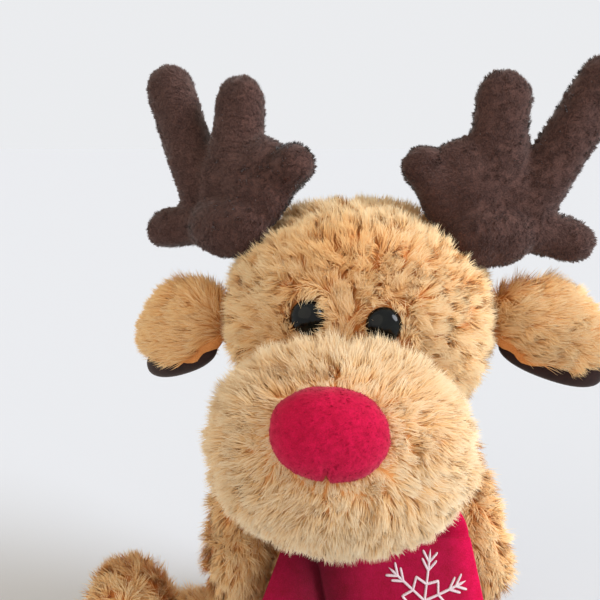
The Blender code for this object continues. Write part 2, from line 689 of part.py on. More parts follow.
# Snowflake: satin stitches on the upper scarf end
STITCH_WIDTH = 1.5 * MM
STITCH_HEIGHT = 0.6 * MM
SNOWFLAKE_X = 27 * MM
SNOWFLAKE_DROP = 19.4 * MM
SNOWFLAKE_TURN = 20
STITCH_WELD_share = 0.004
STITCH_FLAT_ANGLE = math.radians(0.5)
STAR_PEAK_share = 0.5
STAR_VALLEY_share = 0.33
BARB_shares = [(0.62, 0.86), (0.76, 1.0)]
BARB_ANGLE = 32


def make_snowflake(paints):
    """Six stems with barbs, and a six-pointed star round their crossing, bent onto the cloth."""
    strokes = []
    for k in range(6):
        a = math.radians(SNOWFLAKE_TURN + 60 * k)
        stem = Vector((math.cos(a), math.sin(a)))
        if k < 3:
            strokes.append((-stem, stem))
        for foot, tip in BARB_shares:
            for turn in (-BARB_ANGLE, BARB_ANGLE):
                b = a + math.radians(turn)
                strokes.append((stem * foot, stem * foot + Vector((math.cos(b), math.sin(b))) * (tip - foot)))
        for turn in (-30, 30):
            b = a + math.radians(turn)
            strokes.append((stem * STAR_VALLEY_share, Vector((math.cos(b), math.sin(b))) * STAR_PEAK_share))
    flat = [
        stitch(f"stitch_{i:02d}", a * SNOWFLAKE_RADIUS, b * SNOWFLAKE_RADIUS)
        for i, (a, b) in enumerate(strokes)
    ]
    join(flat[0], *flat[1:])
    bpy.context.view_layer.update()
    whole = bpy.data.meshes.new_from_object(flat[0].evaluated_get(bpy.context.evaluated_depsgraph_get()))
    bm = bmesh.new()
    bm.from_mesh(whole)
    bmesh.ops.remove_doubles(bm, verts=bm.verts, dist=STITCH_HEIGHT * STITCH_WELD_share)
    bmesh.ops.dissolve_limit(bm, angle_limit=STITCH_FLAT_ANGLE, verts=bm.verts, edges=bm.edges)
    bmesh.ops.triangulate(bm, faces=bm.faces)
    for v in bm.verts:
        lift = SEWN_GAP + v.co.z
        v.co = drape(SNOWFLAKE_X + v.co.x, SNOWFLAKE_DROP - v.co.y, 0) - Vector((0, lift, 0))
    return add_object("snowflake_embroidery", mesh_from("snowflake_embroidery", bm), paints["thread"])


def stitch(name, a, b):
    """One straight satin stitch from a to b in the flake's plane."""
    way = (b - a).normalized()
    across = Vector((-way.y, way.x)) * (STITCH_WIDTH / 2)
    ends = (a - way * (STITCH_WIDTH / 2), b + way * (STITCH_WIDTH / 2))
    bm = bmesh.new()
    bmesh.ops.create_cube(bm, size=1.0)
    for v in bm.verts:
        flat = ends[0].lerp(ends[1], v.co.x + 0.5) + across * (2 * v.co.y)
        v.co = Vector((flat.x, flat.y, (v.co.z + 0.5) * STITCH_HEIGHT))
    return add_object(name, mesh_from(name, bm))


# Which joint carries which pieces, and which joint carries that one in turn
MOVED_BY = {
    "neck_turn": (None, ("neck_stuffing",)),
    "neck_nod": ("neck_turn", ("head_", "muzzle_", "nose_", "eye_")),
    "ear_left_flop": ("neck_nod", ("ear_left_",)),
    "ear_right_flop": ("neck_nod", ("ear_right_",)),
    "antler_left_bend": ("neck_nod", ("antler_left_",)),
    "antler_right_bend": ("neck_nod", ("antler_right_",)),
    "arm_left_lift": (None, ("arm_left_",)),
    "arm_right_lift": (None, ("arm_right_",)),
    "leg_left_splay": (None, ("leg_left_",)),
    "leg_right_splay": (None, ("leg_right_",)),
    "scarf_under_lift": (None, ("scarf_end_under",)),
    "scarf_over_lift": ("scarf_under_lift", ("scarf_end_over", "snowflake_")),
}


def hold(child, parent):
    """Parents child to an empty, leaving it where it is."""
    child.parent = parent
    child.matrix_parent_inverse = Matrix.Translation(parent["pivot"]).inverted()


def hang_on_joints(joints):
    """An empty on each joint's axis, which carries the pieces that turn there."""
    whole = bpy.data.collections["plush_reindeer"]
    pieces = list(whole.objects)
    hinges = {}
    for name, (pivot, axis) in joints.items():
        hinge = bpy.data.objects.new(f"{name}_axis", None)
        hinge.location = pivot
        hinge["pivot"] = pivot
        hinge["axis"] = axis
        whole.objects.link(hinge)
        hinges[name] = hinge
    for name, (carrier, starts) in MOVED_BY.items():
        for piece in pieces:
            if piece.name.startswith(starts):
                hold(piece, hinges[name])
        if carrier is not None:
            hold(hinges[name], hinges[carrier])


def main():
    """Makes every piece and prints each joint's pivot and axis, in metres."""
    paints = start()
    torso_cover, torso_fill = make_torso(paints)
    make_neck(paints)
    head_cover, head_fill = make_head(paints)
    make_muzzle(paints)
    make_nose(paints)
    joints = {
        "neck_turn": (NECK_CENTRE, Vector((0, 0, 1))),
        "neck_nod": (NECK_CENTRE, Matrix.Rotation(HEAD_TURN, 3, "Z") @ Vector((1, 0, 0))),
    }
    for side, word in ((1, "left"), (-1, "right")):
        make_eye(side, word, head_cover, head_fill, paints)
        joints[f"ear_{word}_flop"] = make_ear(side, word, head_cover, paints)
        joints[f"antler_{word}_bend"] = make_antler(side, word, head_cover, paints)
        joints[f"arm_{word}_lift"] = make_arm(side, word, torso_cover, paints)
        joints[f"leg_{word}_splay"] = make_leg(side, word, torso_cover, paints)
    make_tail(paints)
    joints.update(make_scarf(paints))
    make_snowflake(paints)
    hang_on_joints(joints)
    for name, (pivot, axis) in joints.items():
        print(name, [round(c, 5) for c in pivot], [round(c, 4) for c in axis])
    return joints


joint_places = main()
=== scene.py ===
import math

import bpy
import numpy as np
from mathutils import Matrix, Vector


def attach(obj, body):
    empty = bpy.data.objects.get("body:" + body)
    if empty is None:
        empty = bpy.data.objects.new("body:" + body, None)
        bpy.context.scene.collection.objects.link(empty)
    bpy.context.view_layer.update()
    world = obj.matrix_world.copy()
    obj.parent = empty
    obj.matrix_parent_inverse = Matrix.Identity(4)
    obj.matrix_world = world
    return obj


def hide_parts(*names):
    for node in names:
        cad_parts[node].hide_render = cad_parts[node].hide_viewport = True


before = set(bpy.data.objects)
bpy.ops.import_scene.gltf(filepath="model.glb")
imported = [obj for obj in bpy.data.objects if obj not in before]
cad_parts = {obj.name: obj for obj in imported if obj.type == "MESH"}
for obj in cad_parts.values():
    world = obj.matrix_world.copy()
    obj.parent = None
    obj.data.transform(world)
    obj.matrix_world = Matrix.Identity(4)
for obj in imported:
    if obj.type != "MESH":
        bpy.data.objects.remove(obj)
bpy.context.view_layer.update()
mm = 0.001


# vectors and frames

def unitWay(azimuth, elevation):  # degrees: azimuth 0 is forward (-Y), 90 is the toy's left (+X)
    a, e = math.radians(azimuth), math.radians(elevation)
    return np.array([math.sin(a) * math.cos(e), -math.cos(a) * math.cos(e), math.sin(e)])


def unit(v):  # each row divided by its length
    v = np.asarray(v, float)
    return v / np.maximum(np.linalg.norm(v, axis=-1, keepdims=True), 1e-12)


def frameAt(origin, along, across):  # Z runs along one way, X as near as can be to the other
    z = unit(along)
    x = unit(np.asarray(across, float) - z * np.dot(across, z))
    m = np.eye(4)
    m[:3, 0], m[:3, 1], m[:3, 2], m[:3, 3] = x, np.cross(z, x), z, origin
    return m


def turn(degrees, axis):  # a 3 x 3 rotation about an axis
    about = axis if isinstance(axis, str) else Vector(axis)
    return np.array(Matrix.Rotation(math.radians(degrees), 3, about))


def moved(origin, rotation=None):  # a 4 x 4 frame from a place and a rotation
    m = np.eye(4)
    m[:3, 3] = origin
    if rotation is not None:
        m[:3, :3] = rotation
    return m


# stuffed forms, the same as the part's own

def makeForm(half, place, power=2.0, taper=0.0, lean=0.0, core=0.0):
    return dict(half=np.array(half, float), frame=place, power=power, taper=taper, lean=lean, core=core)


def formPoints(form, ways, grow=0.0):
    # a ball squared by its power, stretched to the half sizes, wider towards the top by taper
    ways = np.atleast_2d(ways)
    full = (np.abs(ways) ** form["power"]).sum(1) ** (-1 / form["power"])
    x, y, z = (ways * full[:, None]).T
    half = form["half"] + grow
    rise = np.copysign(form["core"], z) + (half[2] - form["core"]) * z
    wide = 1 + form["taper"] * rise / half[2]
    local = np.stack([half[0] * x * wide, half[1] * y * wide + form["lean"] * z, rise], 1)
    return local @ form["frame"][:3, :3].T + form["frame"][:3, 3]


def formLevel(form, points, grow=0.0):
    # the same formula backwards: 1 on the surface, less inside
    local = (points - form["frame"][:3, 3]) @ form["frame"][:3, :3]
    half = form["half"] + grow
    rise = local[:, 2]
    z = np.sign(rise) * np.maximum(np.abs(rise) - form["core"], 0) / (half[2] - form["core"])
    wide = np.maximum(1 + form["taper"] * rise / half[2], 0.2)
    x = local[:, 0] / (half[0] * wide)
    y = (local[:, 1] - form["lean"] * z) / (half[1] * wide)
    p = form["power"]
    return (np.abs(x) ** p + np.abs(y) ** p + np.abs(z) ** p) ** (1 / p)


def formNormal(form, way):  # outward normal from two small steps across the surface
    d = unit(way)
    side = unit(np.cross(d, [0.3, 0.5, 0.8]))
    up = np.cross(d, side)
    a, b, c, e = formPoints(form, unit([d + side * 0.01, d - side * 0.01, d + up * 0.01, d - up * 0.01]))
    n = unit(np.cross(a - b, c - e))
    return n if np.dot(n, formPoints(form, d)[0] - form["frame"][:3, 3]) > 0 else -n


def seatOn(form, way, radius, depth):  # the pivot of a round root, let in by depth
    return formPoints(form, way)[0] + formNormal(form, way) * (radius - depth)


def rootForm(pivot, axis, radius, halfThickness):  # a flat ball that turns about its axis
    across = unit(np.cross(axis, [0.3, 0.5, 0.81]))
    return makeForm((radius, radius, halfThickness), frameAt(pivot, axis, across))


# meshes

def gridFaces(rows, columns, around=False):
    # quads between neighbouring rows and columns; around closes each row on itself
    r, c = np.meshgrid(np.arange(rows - 1), np.arange(columns if around else columns - 1), indexing="ij")
    r, c = r.ravel(), c.ravel()
    d = (c + 1) % columns
    return np.stack([r * columns + c, r * columns + d, (r + 1) * columns + d, (r + 1) * columns + c], 1)


def tubeFaces(rows, columns):
    # the quads between closed rings, and at each end a fan to a tip; the two tips come after the rings' points
    i = np.arange(columns)
    j, top = (i + 1) % columns, (rows - 1) * columns
    low, high = np.full(columns, rows * columns), np.full(columns, rows * columns + 1)
    fans = np.concatenate([np.stack([low, j, i], 1), np.stack([top + i, top + j, high], 1)])
    return [gridFaces(rows, columns, True), fans]


def ballWays(around, along):
    # directions of a round grid from the low pole to the high one, and its faces
    e = np.linspace(-math.pi / 2, math.pi / 2, along + 1)[1:-1]
    a = np.linspace(0, 2 * math.pi, around, endpoint=False)
    e, a = np.meshgrid(e, a, indexing="ij")
    ring = np.stack([np.cos(e) * np.cos(a), np.cos(e) * np.sin(a), np.sin(e)], -1).reshape(-1, 3)
    return np.concatenate([ring, [[0, 0, -1], [0, 0, 1]]]), tubeFaces(along - 1, around)


def addPiece(name, points, faceSets, material, uv=None, normals=None):
    mesh = bpy.data.meshes.new(name)
    corners = np.concatenate([f.ravel() for f in faceSets]).astype(np.int32)
    sizes = np.concatenate([np.full(len(f), f.shape[1]) for f in faceSets])
    starts = np.concatenate([[0], np.cumsum(sizes)[:-1]]).astype(np.int32)
    mesh.vertices.add(len(points))
    mesh.vertices.foreach_set("co", np.asarray(points, np.float32).ravel())
    mesh.loops.add(len(corners))
    mesh.loops.foreach_set("vertex_index", corners)
    mesh.polygons.add(len(sizes))
    mesh.polygons.foreach_set("loop_start", starts)
    mesh.update(calc_edges=True)
    mesh.shade_smooth()
    if uv is not None:
        layer = mesh.uv_layers.new(name="OFBake")
        layer.data.foreach_set("uv", np.asarray(uv, np.float32)[corners].ravel())
    if normals is not None:
        mesh.normals_split_custom_set_from_vertices(np.asarray(normals, np.float32))
    mesh.materials.append(material)
    o = bpy.data.objects.new(name, mesh)
    bpy.context.scene.collection.objects.link(o)
    return o


def meshArrays(o):  # the points and triangles of an object with its modifiers
    done = o.evaluated_get(bpy.context.evaluated_depsgraph_get()).to_mesh()
    done.calc_loop_triangles()
    points = np.empty(len(done.vertices) * 3, np.float32)
    done.vertices.foreach_get("co", points)
    faces = np.empty(len(done.loop_triangles) * 3, np.int32)
    done.loop_triangles.foreach_get("vertices", faces)
    return points.reshape(-1, 3).astype(float), faces.reshape(-1, 3)


def vertexNormals(points, faces):  # the mean of the normals of the faces round each vertex
    cross = np.cross(points[faces[:, 1]] - points[faces[:, 0]], points[faces[:, 2]] - points[faces[:, 0]])
    total = np.zeros_like(points)
    for k in range(3):
        for axis in range(3):
            total[:, axis] += np.bincount(faces[:, k], cross[:, axis], len(points))
    return unit(total)


def smoothed(points, faces, times, share=0.5):
    # each vertex goes part of the way to the mean of its neighbours, and every second time a little back
    edges = np.concatenate([faces[:, :2], faces[:, 1:], faces[:, [2, 0]]])
    a, b = np.unique(np.sort(edges, axis=1), axis=0).T
    count = np.maximum(np.bincount(a, minlength=len(points)) + np.bincount(b, minlength=len(points)), 1)
    for step in range(times):
        mean = np.stack([
            (np.bincount(a, points[b, k], len(points)) + np.bincount(b, points[a, k], len(points))) / count
            for k in range(3)
        ], 1)
        points = points + (mean - points) * (share if step % 2 == 0 else -share * 0.6)
    return points


skinDepth = 5.6 * mm  # the cloth lies this far under the solid's face, and the pile fills the rest
skinClear = 2 * mm  # the cloth's height over the ground
furClear = 0.4 * mm  # the pile's


def mergedSkin(forms, grow, voxel, rounds):
    # the forms' balls run together by a voxel remesh, then smoothed
    points, faces, at = [], [], 0
    for form in forms:
        ways, sets = ballWays(40, 24)
        points.append(formPoints(form, ways, grow))
        faces += [f + at for f in sets]
        at += len(ways)
    plain = bpy.data.materials.new("skin_draft")
    o = addPiece("skin_draft", np.concatenate(points), faces, plain)
    remesh = o.modifiers.new("remesh", "REMESH")
    remesh.mode, remesh.voxel_size = "VOXEL", voxel
    points, faces = meshArrays(o)
    bpy.data.objects.remove(o)
    bpy.data.materials.remove(plain)
    points = smoothed(points, faces, rounds)
    return dict(points=points, faces=faces, normals=vertexNormals(points, faces))


def formSkin(form, grow, around=72, along=44):
    ways, sets = ballWays(around, along)
    faces = np.concatenate([sets[0][:, [0, 1, 2]], sets[0][:, [0, 2, 3]], sets[1]])
    points = formPoints(form, ways, grow)
    return dict(points=points, faces=faces, normals=vertexNormals(points, faces))


def shifted(skin, far):  # each point goes far along its normal
    points = skin["points"] + skin["normals"] * far[:, None]
    return dict(skin, points=points, normals=vertexNormals(points, skin["faces"]))


def grounded(skin):  # no point lower than the ground's clearance
    points = np.maximum(skin["points"], [-np.inf, -np.inf, skinClear])
    return dict(skin, points=points, normals=vertexNormals(points, skin["faces"]))


def lumpy(skin, height, size, seed, waves=5):
    # the stuffing's lumps: the mean of some waves, each in a direction and of a length of its own
    rng = np.random.default_rng(seed)
    wave = np.zeros(len(skin["points"]))
    for _ in range(waves):
        reach = skin["points"] @ unit(rng.normal(size=3)) * 2 * math.pi
        wave += np.sin(reach / (size * rng.uniform(0.7, 1.4)) + rng.uniform(0, 6))
    return shifted(skin, wave * height / waves)


# fur

# density: strands to a square mm; tuft: its size, and lock: tufts across a lock; ruffle and sweep: how far tufts
# and locks lean their own way; clump: how far towards the tuft's middle; softness: how much the cloth's normal
# counts in the shading; clear: forms and margins that the roots stay out of
pile = dict(
    density=4.2, tuft=3.8 * mm, lock=2.7, length=8.6 * mm, width=0.46 * mm, lean=30, leanSpread=16, ruffle=0.72,
    sweep=0.5, stray=0.14, bend=0.3, hangBend=2.6, curl=0.8, droop=0.1, uneven=0.2, tuftUneven=0.25, clump=0.42,
    sunk=0.8 * mm, softness=0.9, tones=(0.26, 0.22, 0.16), clear=(),
)
drawn = np.random.default_rng(11).random((8192, 8))  # a table of random numbers for the tufts


def tuftsOf(points, cell, seed):
    # the nearest of one random centre in each cube of the grid, and that centre's own numbers; three large
    # primes and the seed scatter the cubes over the table
    home = np.floor(points / cell).astype(np.int64)
    best = np.full(len(points), np.inf)
    centre, numbers = np.zeros((len(points), 3)), np.zeros((len(points), 5))
    for step in np.ndindex(3, 3, 3):
        c = home + np.array(step) - 1
        key = (c[:, 0] * 73856093 ^ c[:, 1] * 19349663 ^ c[:, 2] * 83492791 ^ seed * 2654435) % len(drawn)
        place = (c + drawn[key, :3]) * cell
        far = ((points - place) ** 2).sum(1)
        near = far < best
        best[near], centre[near], numbers[near] = far[near], place[near], drawn[key[near], 3:]
    return centre, numbers


def scatter(skin, density, rng):
    # places on the triangles, drawn in proportion to their areas
    p, f = skin["points"], skin["faces"]
    a, b, c = p[f[:, 0]], p[f[:, 1]], p[f[:, 2]]
    area = np.linalg.norm(np.cross(b - a, c - a), axis=1) / 2
    count = int(area.sum() * density / mm ** 2)
    chosen = f[np.searchsorted(np.cumsum(area) / area.sum(), rng.random(count)).clip(0, len(f) - 1)]
    u, v = rng.random((2, count))
    over = u + v > 1
    u[over], v[over] = 1 - u[over], 1 - v[over]
    w = np.stack([1 - u - v, u, v], 1)[:, :, None]
    return (p[chosen] * w).sum(1), unit((skin["normals"][chosen] * w).sum(1))


def tangent(v, n):  # the part of v that lies along the surface
    return v - n * (v * n).sum(1, keepdims=True)


def outside(points, forms, grow=0.0):  # true where a point lies in none of the forms
    clear = np.ones(len(points), bool)
    for form in forms:
        clear &= formLevel(form, points, grow) > 1
    return clear


def growFur(skin, fur, comb, seed, keep=None, shade=None):
    # strands of two straight runs, each a narrow blade whose flat side looks away from the cloth:
    # lean, comb, then pull towards the tuft
    rng = np.random.default_rng(seed)
    p, n = scatter(skin, fur["density"], rng)
    kept = keep(p, n) if keep else np.ones(len(p), bool)
    for forms, margin in fur["clear"]:
        kept &= outside(p, forms, margin)
    p, n = p[kept], n[kept]
    count = len(p)
    flow = unit(tangent(comb(p, n), n))
    centre, tuft = tuftsOf(p, fur["tuft"], seed)
    _, lock = tuftsOf(p, fur["tuft"] * fur["lock"], seed + 5)
    stray = rng.normal(size=(count, 3)) * fur["stray"]
    hang = fur["hangAt"](p) if "hangAt" in fur else np.zeros(count)  # 1 for upright first, then bent right over
    lean = np.radians((fur["lean"] + fur["leanSpread"] * (tuft[:, 0] * 2 - 1)) * (1 - 0.8 * hang))[:, None]
    ruffle = tangent((tuft[:, :3] - 0.5) * 2 * fur["ruffle"] + (lock[:, :3] - 0.5) * 2 * fur["sweep"], n)
    first = unit(n * np.cos(lean) + flow * np.sin(lean) + ruffle * (1 - 0.7 * hang[:, None]) + stray)
    bend = flow * (fur["bend"] + fur["hangBend"] * hang[:, None]) + tangent(tuft[:, 2:5] - 0.5, n) * fur["curl"]
    bend = bend + np.array([0, 0, -fur["droop"]])
    second = unit(first + bend + rng.normal(size=(count, 3)) * fur["stray"])
    length = 1 + fur["uneven"] * (rng.random(count) * 2 - 1) + fur["tuftUneven"] * (tuft[:, 3] - 0.5)
    size = fur["sizeAt"](p) if "sizeAt" in fur else np.ones(count)
    length = (fur["length"] * length * size)[:, None]
    pull = tangent(centre - p, n) * fur["clump"]
    root = p - n * fur["sunk"]
    middle = root + first * length * 0.5 + pull * 0.4
    tip = middle + second * length * 0.5 + pull * 0.6
    wide = unit(np.cross(n, tip - middle) + rng.normal(size=(count, 3)) * length * 0.04)
    deep = unit(np.cross(tip - middle, wide))
    half = fur["width"] * (0.75 + 0.5 * rng.random(count))[:, None] / 2
    edge = wide * half
    points = np.stack([root - edge, root + edge, middle - edge * 0.8, middle + edge * 0.8, tip], 1)
    outward = np.stack([-wide, wide, -wide, wide, wide * 0], 1) * 0.5 + deep[:, None] * 0.5
    normals = unit(outward + n[:, None] * fur["softness"])
    byTuft, byLock, byStrand = fur["tones"]
    tone = 0.5 + byTuft * (tuft[:, 4] - 0.5) + byLock * (lock[:, 4] - 0.5) + byStrand * rng.normal(size=count)
    if shade is not None:
        tone = tone + shade(p, n)
    across = np.clip(tone, 0.03, 0.97)[:, None] + np.array([-1, 1, -1, 1, 0]) * 0.012
    # how far along the strand: the colour darkens towards the root, partly as painted shade deep in the pile
    tall = np.array([0.0, 0.0, 0.5, 0.5, 1.0]) * np.ones((count, 1))
    uv = np.stack([across, tall], -1)
    points[..., 2] = np.maximum(points[..., 2], furClear)
    return dict(points=points, normals=normals, uv=uv, roots=p)


# corners of a strand: two at the root, two half way up, and the tip
strandFaces = np.array([[1, 0, 2], [1, 2, 3], [3, 2, 4]])


def addFur(name, fur, material, parent, slot="tan_fur", chosen=slice(None)):
    points, normals = (fur[k][chosen].reshape(-1, 3) for k in ("points", "normals"))
    uv = fur["uv"][chosen].reshape(-1, 2)
    count = len(points) // 5
    faces = (strandFaces[None] + np.arange(count)[:, None, None] * 5).reshape(-1, 3)
    o = addPiece(name, points, [faces], material, uv, normals)
    o.parent = parent
    print("fur", name, count, "strands", len(faces), "triangles")


# materials

def linear(colour):  # sRGB numbers of 0 to 255 to the renderer's own scale
    c = np.array(colour, float) / 255
    return tuple(np.where(c <= 0.04045, c / 12.92, ((c + 0.055) / 1.055) ** 2.4)) + (1.0,)


def newMaterial(name, **sockets):
    m = bpy.data.materials.new(name)
    m.use_nodes = True
    shader = m.node_tree.nodes["Principled BSDF"]
    for key, value in sockets.items():
        shader.inputs[key.replace("_", " ")].default_value = value
    return m, m.node_tree, shader


def addNode(tree, kind, links=(), **settings):
    node = tree.nodes.new(kind)
    for key, value in settings.items():
        setattr(node, key, value)
    for key, value in links:
        if isinstance(value, bpy.types.NodeSocket):
            tree.links.new(value, node.inputs[key])
        else:
            node.inputs[key].default_value = value
    return node


def addMath(tree, operation, a, b):
    return addNode(tree, "ShaderNodeMath", [(0, a), (1, b)], operation=operation)


def ramp(tree, factor, stops):  # colours at places from 0 to 1
    node = addNode(tree, "ShaderNodeValToRGB", [("Fac", factor)])
    while len(node.color_ramp.elements) < len(stops):
        node.color_ramp.elements.new(0.5)
    for element, (place, colour) in zip(node.color_ramp.elements, stops):
        element.position, element.color = place, linear(colour)
    return node.outputs["Color"]


def furMaterial(name, dark, light, sheen=0.1):
    # colour by the strand's own tone and by how far along it: dark at the root, pale at the tip, partly the fur's
    # own colour and partly painted shade deep in the pile
    m, tree, shader = newMaterial(
        name, Roughness=0.8, Specular_IOR_Level=0.15, Sheen_Weight=sheen, Sheen_Roughness=0.5,
    )
    uv = addNode(tree, "ShaderNodeUVMap", uv_map="OFBake")
    parts = addNode(tree, "ShaderNodeSeparateXYZ", [("Vector", uv.outputs["UV"])])
    a, b = (ramp(tree, parts.outputs["Y"], stops) for stops in (dark, light))
    mix = addNode(tree, "ShaderNodeMix", [("Factor", parts.outputs["X"])], data_type="RGBA")
    tree.links.new(a, mix.inputs[6])
    tree.links.new(b, mix.inputs[7])
    tree.links.new(mix.outputs[2], shader.inputs["Base Color"])
    return m


def clothMaterial(name, low, high, size, bump, height, sheen=0.0, roughness=0.9, across=None):
    # fibres: the mean of a coarse and a fine noise over the object, in the colour and in the bump;
    # across gives greys by which the colour is multiplied over the map "cloth", which paint shade and highlight
    # onto it
    m, tree, shader = newMaterial(
        name, Roughness=roughness, Specular_IOR_Level=0.2, Sheen_Weight=sheen, Sheen_Roughness=0.45,
    )
    at = addNode(tree, "ShaderNodeTexCoord").outputs["Object"]
    coarse = addNode(
        tree, "ShaderNodeTexNoise", [("Vector", at), ("Scale", 1 / size), ("Detail", 6.0), ("Roughness", 0.65)],
    )
    fine = addNode(tree, "ShaderNodeTexNoise", [("Vector", at), ("Scale", 9 / size), ("Detail", 3.0)])
    both = addMath(tree, "ADD", coarse.outputs["Fac"], fine.outputs["Fac"])
    half = addMath(tree, "MULTIPLY", both.outputs[0], 0.5)
    colour = ramp(tree, half.outputs[0], [(0.35, low), (0.65, high)])
    if across is not None:
        uv = addNode(tree, "ShaderNodeUVMap", uv_map="cloth")
        place = addNode(tree, "ShaderNodeSeparateXYZ", [("Vector", uv.outputs["UV"])]).outputs["X"]
        mix = addNode(tree, "ShaderNodeMix", [("Factor", 1.0)], data_type="RGBA", blend_type="MULTIPLY")
        tree.links.new(colour, mix.inputs[6])
        tree.links.new(ramp(tree, place, [(p, (grey,) * 3) for p, grey in across]), mix.inputs[7])
        colour = mix.outputs[2]
    tree.links.new(colour, shader.inputs["Base Color"])
    relief = addNode(
        tree, "ShaderNodeBump", [("Height", half.outputs[0]), ("Strength", bump), ("Distance", height)],
    )
    tree.links.new(relief.outputs["Normal"], shader.inputs["Normal"])
    return m


# each ramp runs from root to tip; the darker roots are partly the pile's own colour and partly painted shade
tanFur = furMaterial(
    "tan_fur_pile",
    [(0.0, (220, 132, 66)), (0.45, (241, 176, 106)), (1.0, (252, 216, 155))],
    [(0.0, (238, 164, 96)), (0.45, (253, 216, 156)), (1.0, (255, 246, 216))],
)
muzzleFur = furMaterial(
    "muzzle_fur_pile",
    [(0.0, (218, 138, 74)), (0.45, (237, 181, 115)), (1.0, (247, 216, 165))],
    [(0.0, (232, 166, 104)), (0.45, (247, 216, 165)), (1.0, (250, 242, 220))],
)
brownPlush = furMaterial(
    "brown_plush_pile",
    [(0.0, (38, 22, 20)), (0.5, (54, 34, 31)), (1.0, (69, 47, 43))],
    [(0.0, (55, 34, 32)), (0.5, (87, 60, 55)), (1.0, (130, 99, 90))],
    0.3,
)
noseFuzz = furMaterial(
    "nose_felt_fuzz",
    [(0.0, (144, 2, 42)), (1.0, (184, 6, 56))],
    [(0.0, (180, 5, 56)), (1.0, (232, 28, 92))],
)
furBacking = clothMaterial("tan_fur_backing", (214, 134, 70), (236, 164, 98), 6 * mm, 0.5, 1 * mm)
muzzleBacking = clothMaterial("muzzle_fur_backing", (220, 146, 82), (240, 178, 114), 6 * mm, 0.5, 1 * mm)
neckCloth = clothMaterial("neck_fur_backing", (206, 150, 96), (232, 186, 130), 5 * mm, 0.6, 1 * mm)
plushBacking = clothMaterial("brown_plush_backing", (60, 38, 34), (102, 72, 65), 5 * mm, 0.6, 0.6 * mm, 0.3)
noseFelt = clothMaterial("nose_felt_cloth", (170, 2, 48), (218, 12, 76), 3 * mm, 0.5, 0.4 * mm, 0.12)
velour = clothMaterial("brown_velour_cloth", (28, 15, 14), (52, 30, 27), 3 * mm, 0.4, 0.3 * mm, 0.3)
# the scarf's greys across are painted shade, darkest in the valley between the ends, and a painted highlight at
# the upper end's free edge
scarfFelt = clothMaterial(
    "scarf_felt_cloth", (196, 0, 58), (238, 10, 92), 4 * mm, 0.5, 0.5 * mm, 0.04, 0.85,
    across=[(0.0, 104), (0.12, 142), (0.3, 176), (0.5, 188), (0.84, 192), (0.96, 250)],
)
thread = clothMaterial("satin_thread", (206, 186, 196), (240, 226, 232), 1.2 * mm, 0.5, 0.2 * mm, 0.2, 0.5)
washerPlastic = clothMaterial(
    "washer_plastic", (214, 214, 208), (226, 226, 222), 4 * mm, 0.1, 0.05 * mm, roughness=0.4,
)


def eyeMaterial():
    # black plastic with a faint green tint that varies over the dome, a painted reflection
    m, tree, shader = newMaterial("eye_plastic_gloss", Roughness=0.09, Specular_IOR_Level=0.22)
    at = addNode(tree, "ShaderNodeTexCoord").outputs["Object"]
    reflectionTint = addNode(tree, "ShaderNodeTexNoise", [("Vector", at), ("Scale", 160.0), ("Detail", 2.0)])
    colour = ramp(tree, reflectionTint.outputs["Fac"], [(0.4, (8, 9, 9)), (0.7, (18, 22, 19))])
    tree.links.new(colour, shader.inputs["Base Color"])
    return m


eyeGloss = eyeMaterial()
print("materials ready")


# the toy's forms

# cut is how much the ground takes off, and let how deep a root sits in its seat
body = dict(width=90 * mm, depth=90 * mm, height=114 * mm, lean=8 * mm, back=6 * mm, cut=0.5 * mm, let=6.5 * mm)
headSize = dict(width=119 * mm, depth=100 * mm, height=99 * mm, forward=11 * mm, lift=1.02, turn=-7.5, roll=4)
muzzleSize = dict(width=106 * mm, depth=80 * mm, height=84 * mm, standoff=0.16, drop=0.87)
noseSize = dict(width=42 * mm, depth=27 * mm, height=33 * mm, azimuth=-2, elevation=24, sink=0.16)


def halves(size):
    return size["width"] / 2, size["depth"] / 2, size["height"] / 2


torsoCentre = np.array([0, body["back"], body["height"] / 2 - body["cut"]])
torsoForm = makeForm(halves(body), moved(torsoCentre), 3.2, -0.2, body["lean"])
neckRadius = 20 * mm
neckCentre = formPoints(torsoForm, [0, 0, 1])[0] + np.array([0, 0, neckRadius * 0.3])
headTurn = turn(headSize["turn"], "Z") @ turn(headSize["roll"], "Y")
headFrame = moved(neckCentre, headTurn) @ moved(-neckCentre)
headCentre = neckCentre + np.array([0, -headSize["forward"], headSize["height"] / 2 * headSize["lift"]])
headForm = makeForm(halves(headSize), headFrame @ moved(headCentre), 2.35, -0.04)
muzzleCentre = headCentre + np.array([
    0,
    -headSize["depth"] / 2 - muzzleSize["depth"] * muzzleSize["standoff"],
    -headSize["height"] / 2 * muzzleSize["drop"],
])
muzzleForm = makeForm(halves(muzzleSize), headFrame @ moved(muzzleCentre), 2.15)
noseSeat = formPoints(muzzleForm, unitWay(noseSize["azimuth"], noseSize["elevation"]))[0]
noseSeat = noseSeat - headTurn @ unitWay(0, 0) * (noseSize["depth"] * noseSize["sink"])
noseForm = makeForm(halves(noseSize), moved(noseSeat, headTurn), 2.2)


def furry(name, skin, cloth, bodyName, nodes):
    # the cover's backing, which carries the pile
    o = addPiece(name, skin["points"], [skin["faces"]], cloth)
    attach(o, bodyName)
    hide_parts(*nodes)
    return o


# arms, legs, ears and antlers: their forms

armSize = dict(
    length=90 * mm, width=39 * mm, azimuth=88, elevation=40, root=17.5 * mm, taper=0.05,
    ways={"left": (11, -27, -45), "right": (9, -27, -46)},
)
legSize = dict(
    reach=66 * mm, width=42 * mm, root=20 * mm, rootHeight=38 * mm, splay={"left": 64, "right": 84},
    foot=(48 * mm, 46 * mm, 60 * mm), tip={"left": 60, "right": 0},
)
# poses: elevation of the seat, sweep back and droop
earSize = dict(
    length=66 * mm, height=44 * mm, thick=23 * mm, root=19 * mm,
    poses={"left": (2, 8, 16), "right": (-12, 32, 24)},
)
